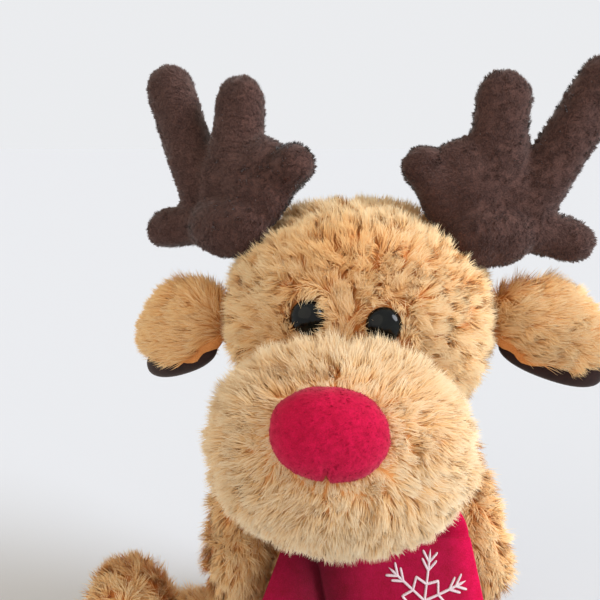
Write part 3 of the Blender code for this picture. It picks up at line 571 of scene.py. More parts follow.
# poses: sweep back, lean and tip; tines: start and end in parts of the spread, two half widths, flatness
antlerSize = dict(
    spread=72 * mm, thick=24 * mm, root=24 * mm, azimuth=88, elevation={"left": 54, "right": 47},
    poses={"left": (12, -8, 4), "right": (28, 0, 14)},
    tines=[
        ((0.02, 0.00), (0.18, -0.04), 0.25, 0.24, 1.0),
        ((0.12, -0.02), (0.22, 0.53), 0.23, 0.165, 0.92),
        ((0.36, -0.08), (0.83, 0.57), 0.18, 0.17, 0.92),
        ((0.19, -0.22), (0.61, -0.36), 0.17, 0.135, 0.84),
        ((-0.04, -0.12), (-0.29, 0.15), 0.16, 0.142, 0.84),
    ],
)


def armForms(side, word):
    way = unitWay(side * armSize["azimuth"], armSize["elevation"])
    pivot = seatOn(torsoForm, way, armSize["root"], body["let"])
    x, y, z = armSize["ways"][word]
    along = unit([side * x, y, z])
    start = armSize["root"] * 0.5
    length = armSize["length"] - armSize["root"] + start
    arm = makeForm(
        (armSize["width"] / 2, armSize["width"] / 2, length / 2),
        frameAt(pivot + along * (length / 2 - start), along, (0, 1, 0)), 2.5, armSize["taper"],
    )
    return along, [arm, rootForm(pivot, (0, 1, 0), armSize["root"], armSize["root"])]


def legForms(side, word):
    splay = side * legSize["splay"][word]
    level = legSize["width"] / 2 - body["cut"]
    drop = math.degrees(math.asin((level - torsoCentre[2]) / torsoCentre[2]))
    along = unitWay(splay, 0)
    pivot = formPoints(torsoForm, unitWay(splay, drop))[0] + along * (legSize["root"] - body["let"])
    pivot[2] = level
    start = legSize["root"] * 0.5
    half = (legSize["reach"] + start) / 2
    thigh = makeForm(
        (legSize["width"] / 2, legSize["width"] / 2, half),
        frameAt(pivot + along * (half - start), along, (0, 0, 1)), 2.6,
    )
    long, wide, tall = legSize["foot"]
    toe = pivot + along * (legSize["reach"] - long / 2)
    c, s = math.cos(math.radians(legSize["tip"][word])), math.sin(math.radians(legSize["tip"][word]))
    toe[2] = math.hypot(tall / 2 * c, long / 2 * s) - body["cut"]
    upright, ahead = along * s + np.array([0, 0, c]), along * c - np.array([0, 0, s])
    foot = makeForm((long / 2, wide / 2, tall / 2), frameAt(toe, upright, ahead), 2.3)
    root = rootForm(pivot, (0, 0, 1), legSize["root"], legSize["rootHeight"] / 2)
    return along, toe, [thigh, foot, root]


def earForms(side, word):
    elevation, sweep, droop = earSize["poses"][word]
    sweep, droop = math.radians(sweep), math.radians(droop)
    pivot = seatOn(headForm, unitWay(side * 90, elevation), earSize["root"], body["let"])
    along = headTurn @ np.array([
        side * math.cos(sweep) * math.cos(droop), math.sin(sweep) * math.cos(droop), -math.sin(droop),
    ])
    level = headTurn @ np.array([-side * math.sin(sweep), math.cos(sweep), 0])
    axis = unit(np.cross(along, np.cross(level, along)))
    up = frameAt(pivot, along, axis)[:3, 1]
    up = up if up[2] > 0 else -up
    start = earSize["root"] * 0.5
    length = earSize["length"] - earSize["root"] + start
    centre = pivot + along * (length / 2 - start)
    leaf = makeForm(
        (earSize["thick"] / 2, earSize["height"] / 2, length / 2), frameAt(centre, along, axis), 2.6, -0.15,
    )
    return dict(
        pivot=pivot, along=along, axis=axis, up=up, centre=centre, length=length, leaf=leaf,
        root=rootForm(pivot, axis, earSize["root"], earSize["thick"] / 2),
    )


def antlerForms(side, word):
    sweep, lean, tip = antlerSize["poses"][word]
    a = math.radians(sweep)
    way = unitWay(side * antlerSize["azimuth"], antlerSize["elevation"][word])
    pivot = seatOn(headForm, way, antlerSize["root"], body["let"])
    out = headTurn @ np.array([side * math.cos(a), math.sin(a), 0])
    back = headTurn @ np.array([-side * math.sin(a), math.cos(a), 0])
    tilt = turn(side * lean, back) @ turn(-side * tip, out)
    out, back = tilt @ out, tilt @ back
    up = side * np.cross(out, back)
    thick = antlerSize["thick"] / 2
    forms = [rootForm(pivot, back, antlerSize["root"], thick)]
    for start, end, wide, narrow, flat in antlerSize["tines"]:
        p, q = (pivot + (out * s[0] + up * s[1]) * antlerSize["spread"] for s in (start, end))
        wide, narrow = wide * antlerSize["spread"], narrow * antlerSize["spread"]
        along = unit(q - p)
        core, mean = np.linalg.norm(q - p) / 2, (wide + narrow) / 2
        forms.append(makeForm(
            (mean, thick * flat, core + mean),
            frameAt((p + q) / 2 + along * ((narrow - wide) / 2), along, np.cross(along, back)),
            2.2, (narrow - wide) / (narrow + wide), core=core,
        ))
    return dict(pivot=pivot, out=out, up=up, back=back, forms=forms)


sides = ((1, "left"), (-1, "right"))
arms = {word: armForms(side, word) for side, word in sides}
legs = {word: legForms(side, word) for side, word in sides}
ears = {word: earForms(side, word) for side, word in sides}
antlers = {word: antlerForms(side, word) for side, word in sides}


# head

eyeSize = dict(radius=7.2 * mm, dome=4.6 * mm, rim=0.15 * mm, sunk=3.6 * mm, azimuth=15, shift=-2.5, elevation=5)
# seam: how deep and how far round the antlers the cloth is drawn in; lid: the ring of fur that hangs over an
# eye; bridge and brow: azimuth and elevation of where the combing starts and where the fur is darkest
headLook = dict(
    lumps=(1.6 * mm, 34 * mm), seam=5.5 * mm, seamReach=9 * mm, shortReach=10 * mm, lid=8.2 * mm,
    lidWidth=3.2 * mm, bare=6.2 * mm, bridge=(-2.5, -24), brow=(-4, 36), browReach=19 * mm, browDark=0.6,
    # the crown's paleness is painted light from above
    crownPaintedLight=0.2, split=4 * mm,
)


def eyeFrame(side):
    way = unitWay(side * eyeSize["azimuth"] + eyeSize["shift"], eyeSize["elevation"])
    out = formNormal(headForm, way)
    return frameAt(formPoints(headForm, way)[0] - out * eyeSize["sunk"], out, (1, 0, 0))


eyes = {word: eyeFrame(side) for side, word in sides}
bridge, brow = (formPoints(headForm, unitWay(*headLook[place]))[0] for place in ("bridge", "brow"))


def antlerNear(p):  # distance to the nearer antler's root or palm, about
    return np.clip(np.min([
        (formLevel(f, p) - 1) * antlerSize["root"] for w in antlers for f in antlers[w]["forms"][:2]
    ], axis=0), 0, None)


headSkin = lumpy(formSkin(headForm, -skinDepth), *headLook["lumps"], 3)
# drawn in where an antler is sewn on, by a bell curve of the distance to it
seam = np.exp(-(antlerNear(headSkin["points"]) / headLook["seamReach"]) ** 2) * headLook["seam"]
headSkin = shifted(headSkin, -seam)
head = furry("head_backing", headSkin, furBacking, "head", ("head_cover", "head_stuffing"))


def toEye(p):  # the way to the nearer eye's middle, and its length
    ways = np.stack([eyes[w][:3, 3] - p for w in eyes])
    far = np.linalg.norm(ways, axis=2)
    near = far.argmin(0)
    return ways[near, np.arange(len(p))], far.min(0)


def lidShare(p):  # 1 in a ring above each eye, where the fur hangs over its rim, and less beside and below
    way, far = toEye(p)
    high = -way[:, 2] / far
    ring = np.exp(-((far - headLook["lid"]) / headLook["lidWidth"]) ** 2)
    return ring * np.where(high > 0, 0.3 + 0.7 * high, 0.3 - 0.4 * high)


def headComb(p, n):  # away from the bridge of the nose and down, and towards the eyes above them
    away = unit(p - bridge)
    low = np.clip((headCentre[2] - p[:, 2]) / (40 * mm), 0, 1)[:, None]
    lid = lidShare(p)[:, None]
    return (away + np.array([0, 0.2, -1.0]) * (0.25 + low)) * (1 - lid) ** 2 + unit(toEye(p)[0]) * lid * 2


def headKeep(p, n):
    return (toEye(p)[1] > headLook["bare"]) & (np.linalg.norm(p - neckCentre, axis=1) > neckRadius + 1 * mm)


def headLength(p):  # shorter beside the antlers' roots and a little over the eyes
    return np.clip(antlerNear(p) / headLook["shortReach"], 0.3, 1) * (1 - 0.1 * lidShare(p))


def browShade(p, n):
    # a paler crown where the cloth faces up, painted light from above, and a deeper orange in the middle of the
    # forehead, fading out as a bell curve
    crown = np.clip((n[:, 2] - 0.7) / 0.2, 0, 1)
    near = np.exp(-(np.linalg.norm(p - brow, axis=1) / headLook["browReach"]) ** 2)
    return headLook["crownPaintedLight"] * crown - headLook["browDark"] * near


def offTheEyes(fur, edge=1.02, deep=-8 * mm):
    # false for a strand whose middle or tip would lie in an eye's dome
    clear = np.ones(len(fur["roots"]), bool)
    for word in eyes:
        local = (fur["points"][:, 2:] - eyes[word][:3, 3]) @ eyes[word][:3, :3]
        r = np.hypot(local[..., 0], local[..., 1]) / (eyeSize["radius"] * edge)
        over = local[..., 2] > eyeSize["dome"] * np.sqrt(np.maximum(1 - r * r, 0)) + 0.4 * mm
        clear &= ((r > 1) | over | (local[..., 2] < deep)).all(1)
    return clear


headPile = dict(
    pile, density=4.9, width=0.41 * mm, sizeAt=headLength, hangAt=lidShare,
    clear=[
        ([muzzleForm], -8 * mm), ([antlers[w]["forms"][0] for w in antlers], 3 * mm),
        ([ears[w]["root"] for w in ears], -4 * mm),
    ],
)
headFur = growFur(headSkin, headPile, headComb, 21, headKeep, browShade)
headFur = {k: v[offTheEyes(headFur)] for k, v in headFur.items()}
face = headFur["roots"][:, 1] < headCentre[1] - headLook["split"]
addFur("head_fur_face", headFur, tanFur, head, chosen=face)
left = headFur["roots"][:, 0] > headCentre[0]
addFur("head_fur_back_left", headFur, tanFur, head, chosen=~face & left)
addFur("head_fur_back_right", headFur, tanFur, head, chosen=~face & ~left)
print("head done")

# muzzle

muzzleLook = dict(
    lumps=(1.2 * mm, 30 * mm), nearNose=(8 * mm, 26 * mm), low=34 * mm, lowShort=0.3, high=14 * mm, highLong=0.35,
)
muzzleSkin = lumpy(formSkin(muzzleForm, -skinDepth), *muzzleLook["lumps"], 4)
muzzle = furry(
    "muzzle_backing", muzzleSkin, muzzleBacking, "head", ("muzzle_cover", "muzzle_stuffing"),
)


def muzzleComb(p, n):  # away from the nose, a little back and down
    return unit(p - noseSeat) + np.array([0, 0.25, -0.25])


def muzzleLength(p):  # longer away from the nose, shorter under the middle, longer again on the top
    start, reach = muzzleLook["nearNose"]
    far = np.clip((np.linalg.norm(p - noseSeat, axis=1) - start) / reach, 0.45, 1)
    up = p[:, 2] - muzzleCentre[2]
    low, high = np.clip(-up / muzzleLook["low"], 0, 1), np.clip(up / muzzleLook["high"] - 1, 0, 1)
    return far * (1 - muzzleLook["lowShort"] * low) * (1 + muzzleLook["highLong"] * high)


muzzlePile = dict(
    pile, density=5.0, width=0.41 * mm, length=8.8 * mm, lean=44, tuft=4.6 * mm, clump=0.45, ruffle=0.45,
    sizeAt=muzzleLength, clear=[([headForm], -9 * mm), ([noseForm], -1.5 * mm)],
)
muzzleFurGrown = growFur(muzzleSkin, muzzlePile, muzzleComb, 22)
onTheLeft = (muzzleFurGrown["roots"] - muzzleForm["frame"][:3, 3]) @ headTurn[:, 0] > 0
addFur("muzzle_fur_left", muzzleFurGrown, muzzleFur, muzzle, "muzzle_fur", chosen=onTheLeft)
addFur("muzzle_fur_right", muzzleFurGrown, muzzleFur, muzzle, "muzzle_fur", chosen=~onTheLeft)
print("muzzle done")

# nose

noseLook = dict(inset=0.2 * mm, lumps=(0.35 * mm, 12 * mm), groove=2.3 * mm, grooveWidth=0.9 * mm)


def makeNose():
    # the felt cap: the form's own ball, with a sewn dart below where a bell-shaped groove pulls it in
    skin = formSkin(noseForm, -noseLook["inset"], 96, 64)
    x, y, z = ((skin["points"] - noseSeat) @ headTurn).T
    low = np.clip((-z / (noseSize["height"] / 2) - 0.35) / 0.4, 0, 1)
    bell = np.exp(-((x - 0.5 * mm) / noseLook["grooveWidth"]) ** 2)
    groove = bell * low * (y < 2 * mm) * noseLook["groove"]
    skin = lumpy(shifted(skin, -groove), *noseLook["lumps"], 5)
    nose = furry("nose_felt", skin, noseFelt, "head", ("nose_cover", "nose_stuffing"))
    fuzz = dict(
        pile, density=11.0, tuft=0.9 * mm, length=0.9 * mm, width=0.16 * mm, lean=60, ruffle=0.8, clump=0.2,
        sunk=0.2 * mm, softness=2.2, droop=0,
    )
    top = noseSeat + np.array([0, 0, 5 * mm])
    grown = growFur(skin, fuzz, lambda p, n: p - top, 23, lambda p, n: n[:, 1] < 0.5)
    addFur("nose_fuzz", grown, noseFuzz, nose, "nose_felt")


makeNose()

# eyes

def makeEye(word, turns=48, steps=18):
    # a profile turned about the shank's axis: dome, rolled rim and flat back
    radius, dome, rim = eyeSize["radius"], eyeSize["dome"], eyeSize["rim"]
    a = np.linspace(0, math.pi / 2, steps)[:-1]
    r = np.concatenate([[0.1 * mm, radius * 0.5, radius - 2 * rim], radius * np.cos(a)])
    z = np.concatenate([[0, 0, 0], dome * np.sin(a) + rim])
    t = np.linspace(0, 2 * math.pi, turns, endpoint=False)
    ring = np.stack([np.outer(r, np.cos(t)), np.outer(r, np.sin(t)), np.outer(z, np.ones(turns))], -1)
    points = np.concatenate([ring.reshape(-1, 3), [[0, 0, 0], [0, 0, dome + rim]]])
    place = eyes[word]
    points = points @ place[:3, :3].T + place[:3, 3]
    eye = addPiece(f"eye_{word}_dome", points, tubeFaces(len(r), turns), eyeGloss)
    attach(eye, "head")
    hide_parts(f"eye_{word}")
    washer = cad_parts[f"eye_washer_{word}"]
    washer.data.materials.clear()
    washer.data.materials.append(washerPlastic)


for word in eyes:
    makeEye(word)
print("nose and eyes done")

# ears

# insets: how far the cloth lies inside the leaf and the root; filler: the form between them; under and in: how
# far the lining lies below the leaf's middle and in from it
earLook = dict(
    leafInset=np.array([5.5, 5, 5]) * mm, leafTaper=-0.42, rootInset=np.array([3, 3, 4]) * mm,
    filler=(6.5 * mm, 19 * mm, 15 * mm), fillerOut=8 * mm, voxel=1.6 * mm, bare=9 * mm,
    lining=(4.4 * mm, 8.5 * mm), liningShare=0.86, under=12.6 * mm, inward=1 * mm,
    # shade: painted shade, a darker tone over each ear's fur, deeper on the right ear, on the side away from the
    # key light
    shade={"left": -0.12, "right": -0.3},
)


def makeEar(word, seed):
    e = ears[word]
    leaf = dict(e["leaf"], half=e["leaf"]["half"] - earLook["leafInset"], taper=earLook["leafTaper"])
    root = dict(e["root"], half=e["root"]["half"] - earLook["rootInset"])
    filler = frameAt(e["pivot"] + e["along"] * earLook["fillerOut"], e["along"], e["axis"])
    skin = mergedSkin([leaf, root, makeForm(earLook["filler"], filler)], 0, earLook["voxel"], 8)
    ear = furry(f"ear_{word}_backing", skin, furBacking, f"ear_{word}", (f"ear_{word}_cover",))

    def keep(p, n):  # not where the lining is
        return (-((p - e["centre"]) @ e["up"]) <= earLook["bare"]) | (n @ e["up"] >= -0.5)

    def size(p):  # shorter towards the tip and the upper corner
        out = (p - e["centre"]) @ e["along"] + np.maximum((p - e["centre"]) @ e["up"], 0)
        return 1.05 - 0.62 * np.clip(out / (e["length"] / 2), 0, 1)

    fur = dict(
        pile, density=4.6, length=9.5 * mm, lean=52, leanSpread=14, ruffle=0.3, sweep=0.25, droop=0.25,
        sizeAt=size, clear=[([headForm], -10 * mm)],
    )
    comb = e["along"] * 0.7 + e["up"] * 0.6
    grown = growFur(skin, fur, lambda p, n: comb, seed, keep, lambda p, n: earLook["shade"][word])
    addFur(f"ear_{word}_fur", grown, tanFur, ear)
    half = (*earLook["lining"], e["length"] / 2 * earLook["liningShare"])
    place = e["centre"] - e["up"] * earLook["under"] - e["along"] * earLook["inward"]
    lens = makeForm(half, frameAt(place, e["along"], e["axis"]), 2.3)
    ways, sets = ballWays(32, 24)
    lining = addPiece(f"ear_{word}_velour", formPoints(lens, ways), sets, velour)
    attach(lining, f"ear_{word}")
    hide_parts(f"ear_{word}_lining")


for i, word in enumerate(ears):
    makeEar(word, 31 + i)
print("ears done")

# antlers

# corner: the palm's lower corner, sewn on in front; at: its place, out, up and back from the pivot
antlerLook = dict(
    inset=1.4 * mm, voxel=1.7 * mm, lumps=(0.9 * mm, 16 * mm), corner=(12 * mm, 15 * mm, 21 * mm),
    at=(4 * mm, -20 * mm, -4 * mm),
)


def makeAntler(word, seed):
    a = antlers[word]
    low = a["pivot"] + np.array(antlerLook["at"]) @ [a["out"], a["up"], a["back"]]
    corner = makeForm(antlerLook["corner"], frameAt(low, a["out"], a["back"]), 2.2)
    skin = mergedSkin(a["forms"] + [corner], -antlerLook["inset"], antlerLook["voxel"], 14)
    skin = lumpy(skin, *antlerLook["lumps"], seed)
    antler = furry(
        f"antler_{word}_plush", skin, plushBacking, f"antler_{word}",
        (f"antler_{word}_cover", f"antler_{word}_stuffing"),
    )
    fur = dict(
        pile, density=4.8, tuft=2.0 * mm, length=1.8 * mm, width=0.3 * mm, lean=50, leanSpread=24, ruffle=0.5,
        clump=0.3, sunk=0.3 * mm, softness=1.0, droop=0.0, clear=[([headForm], -8 * mm)],
    )
    grown = growFur(skin, fur, lambda p, n: p - a["pivot"], seed)
    addFur(f"antler_{word}_pile", grown, brownPlush, antler, "brown_plush")


for i, word in enumerate(antlers):
    makeAntler(word, 41 + i)
print("antlers done")

# torso, neck and tail

# scarf: the pile is short in front of, within and above these, under the scarf
torsoLook = dict(lumps=(1.5 * mm, 36 * mm), scarf=(-16 * mm, 42 * mm, 40 * mm), short=0.42, split=10 * mm)
torsoSkin = grounded(lumpy(formSkin(torsoForm, -skinDepth), *torsoLook["lumps"], 6))
torso = furry(
    "torso_backing", torsoSkin, furBacking, "torso", ("torso_cover", "torso_stuffing", "pellet_bag"),
)


def torsoKeep(p, n):
    return (n[:, 2] > -0.8) & (np.linalg.norm(p - neckCentre, axis=1) > neckRadius + 5 * mm)


def torsoLength(p):  # short under the scarf
    fore, side, low = torsoLook["scarf"]
    return np.where((p[:, 1] < fore) & (np.abs(p[:, 0]) < side) & (p[:, 2] > low), torsoLook["short"], 1.0)


limbRoots = [limbs[w][-1][-1] for limbs in (arms, legs) for w in limbs]
torsoPile = dict(pile, density=3.2, lean=46, sizeAt=torsoLength, clear=[(limbRoots, -3 * mm)])
torsoFur = growFur(torsoSkin, torsoPile, lambda p, n: np.array([0, 0, -1.0]), 51, torsoKeep)
front = torsoFur["roots"][:, 1] < torsoLook["split"]
addFur("torso_fur_front", torsoFur, tanFur, torso, chosen=front)
addFur("torso_fur_back", torsoFur, tanFur, torso, chosen=~front)

ways, sets = ballWays(40, 24)
neck = addPiece(
    "neck_ball", formPoints(makeForm((neckRadius,) * 3, moved(neckCentre)), ways), sets, neckCloth,
)
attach(neck, "neck")
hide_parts("neck_stuffing")

tailSize = dict(width=20 * mm, height=27 * mm, depth=24 * mm, elevation=-28, out=0.22, up=0.25, inset=4.5 * mm)


def makeTail():
    centre = formPoints(torsoForm, unitWay(180, tailSize["elevation"]))[0]
    centre = centre + np.array([0, tailSize["depth"] * tailSize["out"], tailSize["height"] * tailSize["up"]])
    form = makeForm(halves(tailSize), moved(centre), 2.2)
    skin = formSkin(form, -tailSize["inset"], 32, 20)
    tail = furry("tail_backing", skin, furBacking, "torso", ("tail",))
    fur = dict(pile, length=8 * mm, density=2.8, clear=[([torsoForm], -7 * mm)])
    grown = growFur(skin, fur, lambda p, n: np.array([0, 0.5, -1.0]), 52)
    addFur("tail_fur", grown, tanFur, tail)


makeTail()
print("torso done")

# arms and legs

def makeLimb(name, forms, look, comb, keep, seed):
    skin = grounded(mergedSkin(forms, -skinDepth, look["voxel"], 8))
    skin = lumpy(skin, *look["lumps"], seed)
    limb = furry(f"{name}_backing", skin, furBacking, name, (f"{name}_cover", f"{name}_stuffing"))
    fur = dict(pile, density=look["density"], lean=look["lean"], clear=[([torsoForm], -6 * mm)])
    addFur(f"{name}_fur", growFur(skin, fur, comb, seed, keep), tanFur, limb)


armLook = dict(voxel=2.2 * mm, lumps=(1.2 * mm, 26 * mm), density=3.4, lean=48)
legLook = dict(voxel=2.4 * mm, lumps=(1.2 * mm, 28 * mm), density=2.8, lean=46, foot=24 * mm, footOver=20 * mm)


def makeArm(word, seed):
    along, forms = arms[word]
    makeLimb(f"arm_{word}", forms, armLook, lambda p, n: along, None, seed)


def makeLeg(word, seed):
    along, toe, forms = legs[word]

    def comb(p, n):  # along the thigh, then away from the foot's middle, and a little down
        far = np.clip(((p - toe) @ along + legLook["foot"]) / legLook["footOver"], 0, 1)[:, None]
        return along * (1 - far) + unit(p - toe) * far + np.array([0, 0, -0.3])

    makeLimb(f"leg_{word}", forms, legLook, comb, lambda p, n: n[:, 2] > -0.8, seed)


for i, word in enumerate(arms):
    makeArm(word, 61 + i)
    makeLeg(word, 71 + i)
print("limbs done")

# scarf

scarf = dict(
    thick=2.2 * mm, bandThick=3.4 * mm, underHead=1.2 * mm, seamDrop=4 * mm, foldHeight=78 * mm,
    foldForward=40 * mm, endForward=52 * mm, width=66 * mm, length=42 * mm, overSlope=0.2, underSlope=0.42,
    wave=2.6 * mm, chest=0.05, overEdge=48 * mm, underEdge=31 * mm, underWidth=46 * mm, valley=4.2 * mm,
    valleyWidth=8 * mm, tuck=0.5 * mm, above=3 * mm, turned=1.6 * mm, gap=0.6 * mm, bow=1.2 * mm,
    seamWidth=0.75, neckGap=0.9 * mm, bandWidth=12 * mm, rounded=0.7 * mm,
)


def drape(x, drop, behind=0.0):
    # the hanging cloth's front: forward by a quarter sine as it falls, with a wave across that deepens,
    # and a valley with a bell's profile where the upper end's edge lies
    fall = drop / scarf["length"]
    edge = scarf["overEdge"] - scarf["width"] + scarf["overSlope"] * drop
    bell = np.exp(-((x - edge) / scarf["valleyWidth"]) ** 2)
    valley = scarf["valley"] * np.clip(fall / 0.25, 0, 1) * bell
    swing = np.sin(np.clip(fall, 0, 1) * math.pi / 2)
    forward = scarf["foldForward"] + (scarf["endForward"] - scarf["foldForward"]) * swing
    wave = scarf["wave"] * np.maximum(fall, 0) * np.cos(x / scarf["width"] * 2 * math.pi)
    y = -forward + scarf["chest"] * x * x / scarf["foldForward"] + wave + valley + behind
    return np.stack([x, y, scarf["foldHeight"] - drop], -1)


def foldShadeEdgeLight(points):  # painted shade and highlight: 0, the darkest, in the valley between the ends, 1, the brightest, at the upper end's free edge
    drop = scarf["foldHeight"] - points[:, 2]
    x = points[:, 0] - (scarf["overEdge"] - scarf["width"]) - scarf["overSlope"] * drop
    return np.clip(np.where(x < 0, -x * 0.8, x) / scarf["width"], 0, 1)


def addCloth(name, place, columns=56, rows=34):
    # place gives the front face from across and down, each 0 to 1; a live wall goes behind it
    u, v = np.meshgrid(np.linspace(0, 1, columns), np.linspace(0, 1, rows))
    points = place(u.ravel(), v.ravel())
    faces = gridFaces(rows, columns)[:, ::-1]
    o = addPiece(name, points, [faces], scarfFelt)
    # the map "cloth" carries the painted shade and highlight across the scarf, and how far down it
    layer = o.data.uv_layers.new(name="cloth")
    corners = np.empty(len(o.data.loops), np.int32)
    o.data.loops.foreach_get("vertex_index", corners)
    uv = np.stack([foldShadeEdgeLight(points), v.ravel()], 1)[corners]
    layer.data.foreach_set("uv", uv.astype(np.float32).ravel())
    wall = o.modifiers.new("wall", "SOLIDIFY")
    wall.thickness, wall.offset = scarf["thick"], -1
    bevel = o.modifiers.new("rounded", "BEVEL")
    bevel.width, bevel.segments, bevel.limit_method = scarf["rounded"], 2, "ANGLE"
    return o


def makeScarf():
    top = formPoints(headForm, [0, 0, -1])[0][2] - scarf["underHead"]
    inner = neckRadius + scarf["neckGap"]
    outer = inner + scarf["bandThick"]
    seam = outer + scarf["thick"] + scarf["gap"]

    def band(u, v):  # a ring round the neck
        a, r = u * 2 * math.pi, (inner + outer) / 2
        x, y = neckCentre[0] + r * np.sin(a), neckCentre[1] - r * np.cos(a)
        return np.stack([x, y, top - v * scarf["bandWidth"]], -1)

    def crossing(u, v):  # from an arc on the band to the fold's line: a quarter sine across, straight down, bowed
        halfTop = inner * scarf["seamWidth"]
        x0 = halfTop * (2 * u - 1)
        x1 = -scarf["underEdge"] + u * (scarf["underEdge"] + scarf["overEdge"])
        wide = np.sin(v * math.pi / 2)[:, None] * [1, 0, 0] + v[:, None] * [0, 1, 1]
        y0 = neckCentre[1] - np.sqrt(seam ** 2 - x0 ** 2)
        high = np.stack([x0, y0, np.full_like(x0, top - scarf["seamDrop"])], -1)
        low = drape(x1, np.full_like(x1, scarf["tuck"]))
        bow = np.sin(v * math.pi) * scarf["bow"]
        # the hem goes behind both ends
        back = 2 * (scarf["thick"] + scarf["gap"]) * np.clip((v - 0.72) / 0.22, 0, 1)
        return high + (low - high) * wide + np.stack([bow * 0, back - bow, bow * 0], -1)

    def hang(v):  # from a little above the fold line, where the top edge is turned back, to the hem
        drop = v * (scarf["length"] + scarf["above"]) - scarf["above"]
        return drop, scarf["turned"] * np.exp(-v * scarf["length"] / (0.9 * mm))

    def over(u, v):
        drop, back = hang(v)
        return drape(scarf["overEdge"] - (1 - u) * scarf["width"] + scarf["overSlope"] * drop, drop, back)

    def under(u, v):
        drop, back = hang(v)
        x = -scarf["underEdge"] + u * scarf["underWidth"] - scarf["underSlope"] * drop
        return drape(x, drop, scarf["thick"] + scarf["gap"] + back)

    bandPiece = addCloth("scarf_neck_band", band, 64, 6)
    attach(bandPiece, "torso")
    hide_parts("scarf_band")
    crossPiece = addCloth("scarf_chest_cross", crossing)
    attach(crossPiece, "torso")
    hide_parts("scarf_crossing")
    overPiece = addCloth("scarf_upper_end", over)
    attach(overPiece, "scarf_over")
    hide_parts("scarf_end_over")
    underPiece = addCloth("scarf_lower_end", under)
    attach(underPiece, "scarf_under")
    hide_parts("scarf_end_under")


makeScarf()

# snowflake

flake = dict(
    radius=18.4 * mm, x=27 * mm, drop=19.4 * mm, turn=20, width=1.0 * mm, height=0.55 * mm, peak=0.5, valley=0.33,
    barbs=[(0.6, 0.86), (0.76, 1.02)], barbAngle=38, forkAngle=30, rib=0.05, ribLength=0.5 * mm, lift=0.05 * mm,
)


def flakeStrokes():
    # six stems on three lines, two pairs of barbs on each, and a fork of a star between each two stems
    strokes = []
    for k in range(6):
        a = math.radians(flake["turn"] + 60 * k)
        stem = np.array([math.cos(a), math.sin(a)])
        if k < 3:
            strokes.append((-stem, stem))
        for foot, tip in flake["barbs"]:
            for bend in (-flake["barbAngle"], flake["barbAngle"]):
                b = a + math.radians(bend)
                barb = np.array([math.cos(b), math.sin(b)]) * (tip - foot)
                strokes.append((stem * foot, stem * foot + barb))
        for bend in (-flake["forkAngle"], flake["forkAngle"]):
            b = a + math.radians(bend)
            strokes.append((stem * flake["valley"], np.array([math.cos(b), math.sin(b)]) * flake["peak"]))
    return np.array(strokes) * flake["radius"]


def makeFlake():
    # each stroke is a low ridge along its line, round at the ends, with a groove between its threads
    strokes = flakeStrokes()
    along, around = 17, 10
    s = np.linspace(0, 1, along)
    t = np.linspace(0, 2 * math.pi, around, endpoint=False)
    s, t = (x.ravel() for x in np.meshgrid(s, t, indexing="ij"))
    sets = tubeFaces(along, around)
    points, quads, fans = [], [], []
    for i, (a, b) in enumerate(strokes):
        way = unit(b - a)
        side = np.array([-way[1], way[0]])
        length = np.linalg.norm(b - a) + flake["width"] * 0.7
        reach = (s - 0.5) * length
        ends = np.sqrt(np.clip(1 - (np.abs(s - 0.5) * 2) ** (length / mm * 1.1), 0.02, 1))
        rib = 1 + flake["rib"] * np.sin(s * length / flake["ribLength"] * 2 * math.pi)
        flat = (a + b) / 2 + way * reach[:, None] + side * (np.cos(t) * flake["width"] / 2 * ends * rib)[:, None]
        high = np.maximum(np.sin(t), -0.15) * flake["height"] * ends * rib
        place = drape(flake["x"] + flat[:, 0], flake["drop"] - flat[:, 1])
        place[:, 1] -= high + flake["lift"]
        points += [place, [place[:around].mean(0), place[-around:].mean(0)]]
        at = i * (along * around + 2)
        quads.append(sets[0] + at)
        fans.append(sets[1] + at)
    faces = [np.concatenate(quads), np.concatenate(fans)]
    o = addPiece("snowflake_stitching", np.concatenate(points), faces, thread)
    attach(o, "scarf_over")
    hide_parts("snowflake_embroidery")


makeFlake()
print("scarf done")

# camera, light, floor

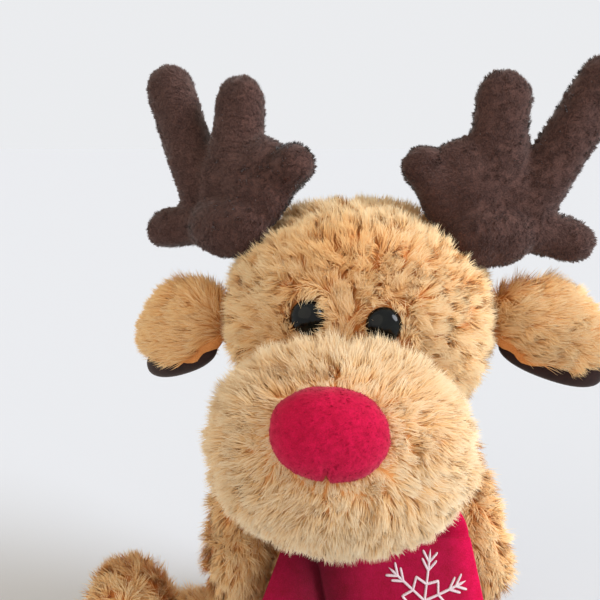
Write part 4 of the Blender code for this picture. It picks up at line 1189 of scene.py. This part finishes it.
# suns: azimuth and elevation that the light comes from, spread in degrees, strength and colour
studio = dict(
    camera=(-24 * mm, -390 * mm, 244 * mm), pitch=80, lens=54, wall=(0.83, 0.84, 0.86),
    fill=(0.9, 0.79, 0.64), ambient=0.64, floorColour=(0.722, 0.773, 0.861), floorSize=30,
    suns=[
        ((68, 29), 30, 2.8, (0.96, 1, 1.06)),
        ((-38, 24), 60, 0.5, (1, 0.86, 0.7)),
        ((165, 50), 50, 0.4, (1, 1, 1)),
    ],
)
cameraData = bpy.data.cameras.new("camera")
cameraData.lens, cameraData.sensor_width = studio["lens"], 36
camera = bpy.data.objects.new("camera", cameraData)
camera.location = studio["camera"]
camera.rotation_euler = (math.radians(studio["pitch"]), 0, 0)
bpy.context.scene.collection.objects.link(camera)
bpy.context.scene.camera = camera

for i, (way, spread, power, tint) in enumerate(studio["suns"]):
    lamp = bpy.data.lights.new(f"window_{i}", "SUN")
    lamp.angle, lamp.energy, lamp.color = math.radians(spread), power, tint
    o = bpy.data.objects.new(f"window_{i}", lamp)
    o.rotation_euler = Vector(unitWay(*way)).to_track_quat("Z", "Y").to_euler()
    bpy.context.scene.collection.objects.link(o)

world = bpy.data.worlds.new("room")
bpy.context.scene.world = world
world.use_nodes = True
wt = world.node_tree
background = wt.nodes["Background"]
# the wall's own colour where it is seen or mirrored, and a warmer, dimmer one where it only lights
path = addNode(wt, "ShaderNodeLightPath").outputs
seen = addMath(wt, "MAXIMUM", path["Is Camera Ray"], path["Is Glossy Ray"])
seen = addMath(wt, "MAXIMUM", seen.outputs[0], path["Is Transmission Ray"])
strength = addNode(
    wt, "ShaderNodeMapRange", [("Value", seen.outputs[0]), ("To Min", studio["ambient"]), ("To Max", 1.0)],
)
wt.links.new(strength.outputs["Result"], background.inputs["Strength"])
tint = addNode(wt, "ShaderNodeMix", [("Factor", seen.outputs[0])], data_type="RGBA")
tint.inputs[6].default_value, tint.inputs[7].default_value = (*studio["fill"], 1), (*studio["wall"], 1)
wt.links.new(tint.outputs[2], background.inputs["Color"])

ground, _, shader = newMaterial("pale_floor", Roughness=0.9, Specular_IOR_Level=0.0)
shader.inputs["Base Color"].default_value = (*studio["floorColour"], 1)
floorPoints = np.array([[-1, -1, 0], [1, -1, 0], [1, 1, 0], [-1, 1, 0]], float) * studio["floorSize"]
floor = addPiece("floor", floorPoints, [np.array([[0, 1, 2, 3]])], ground)

bpy.context.scene.view_settings.view_transform = "Standard"
bpy.context.view_layer.update()
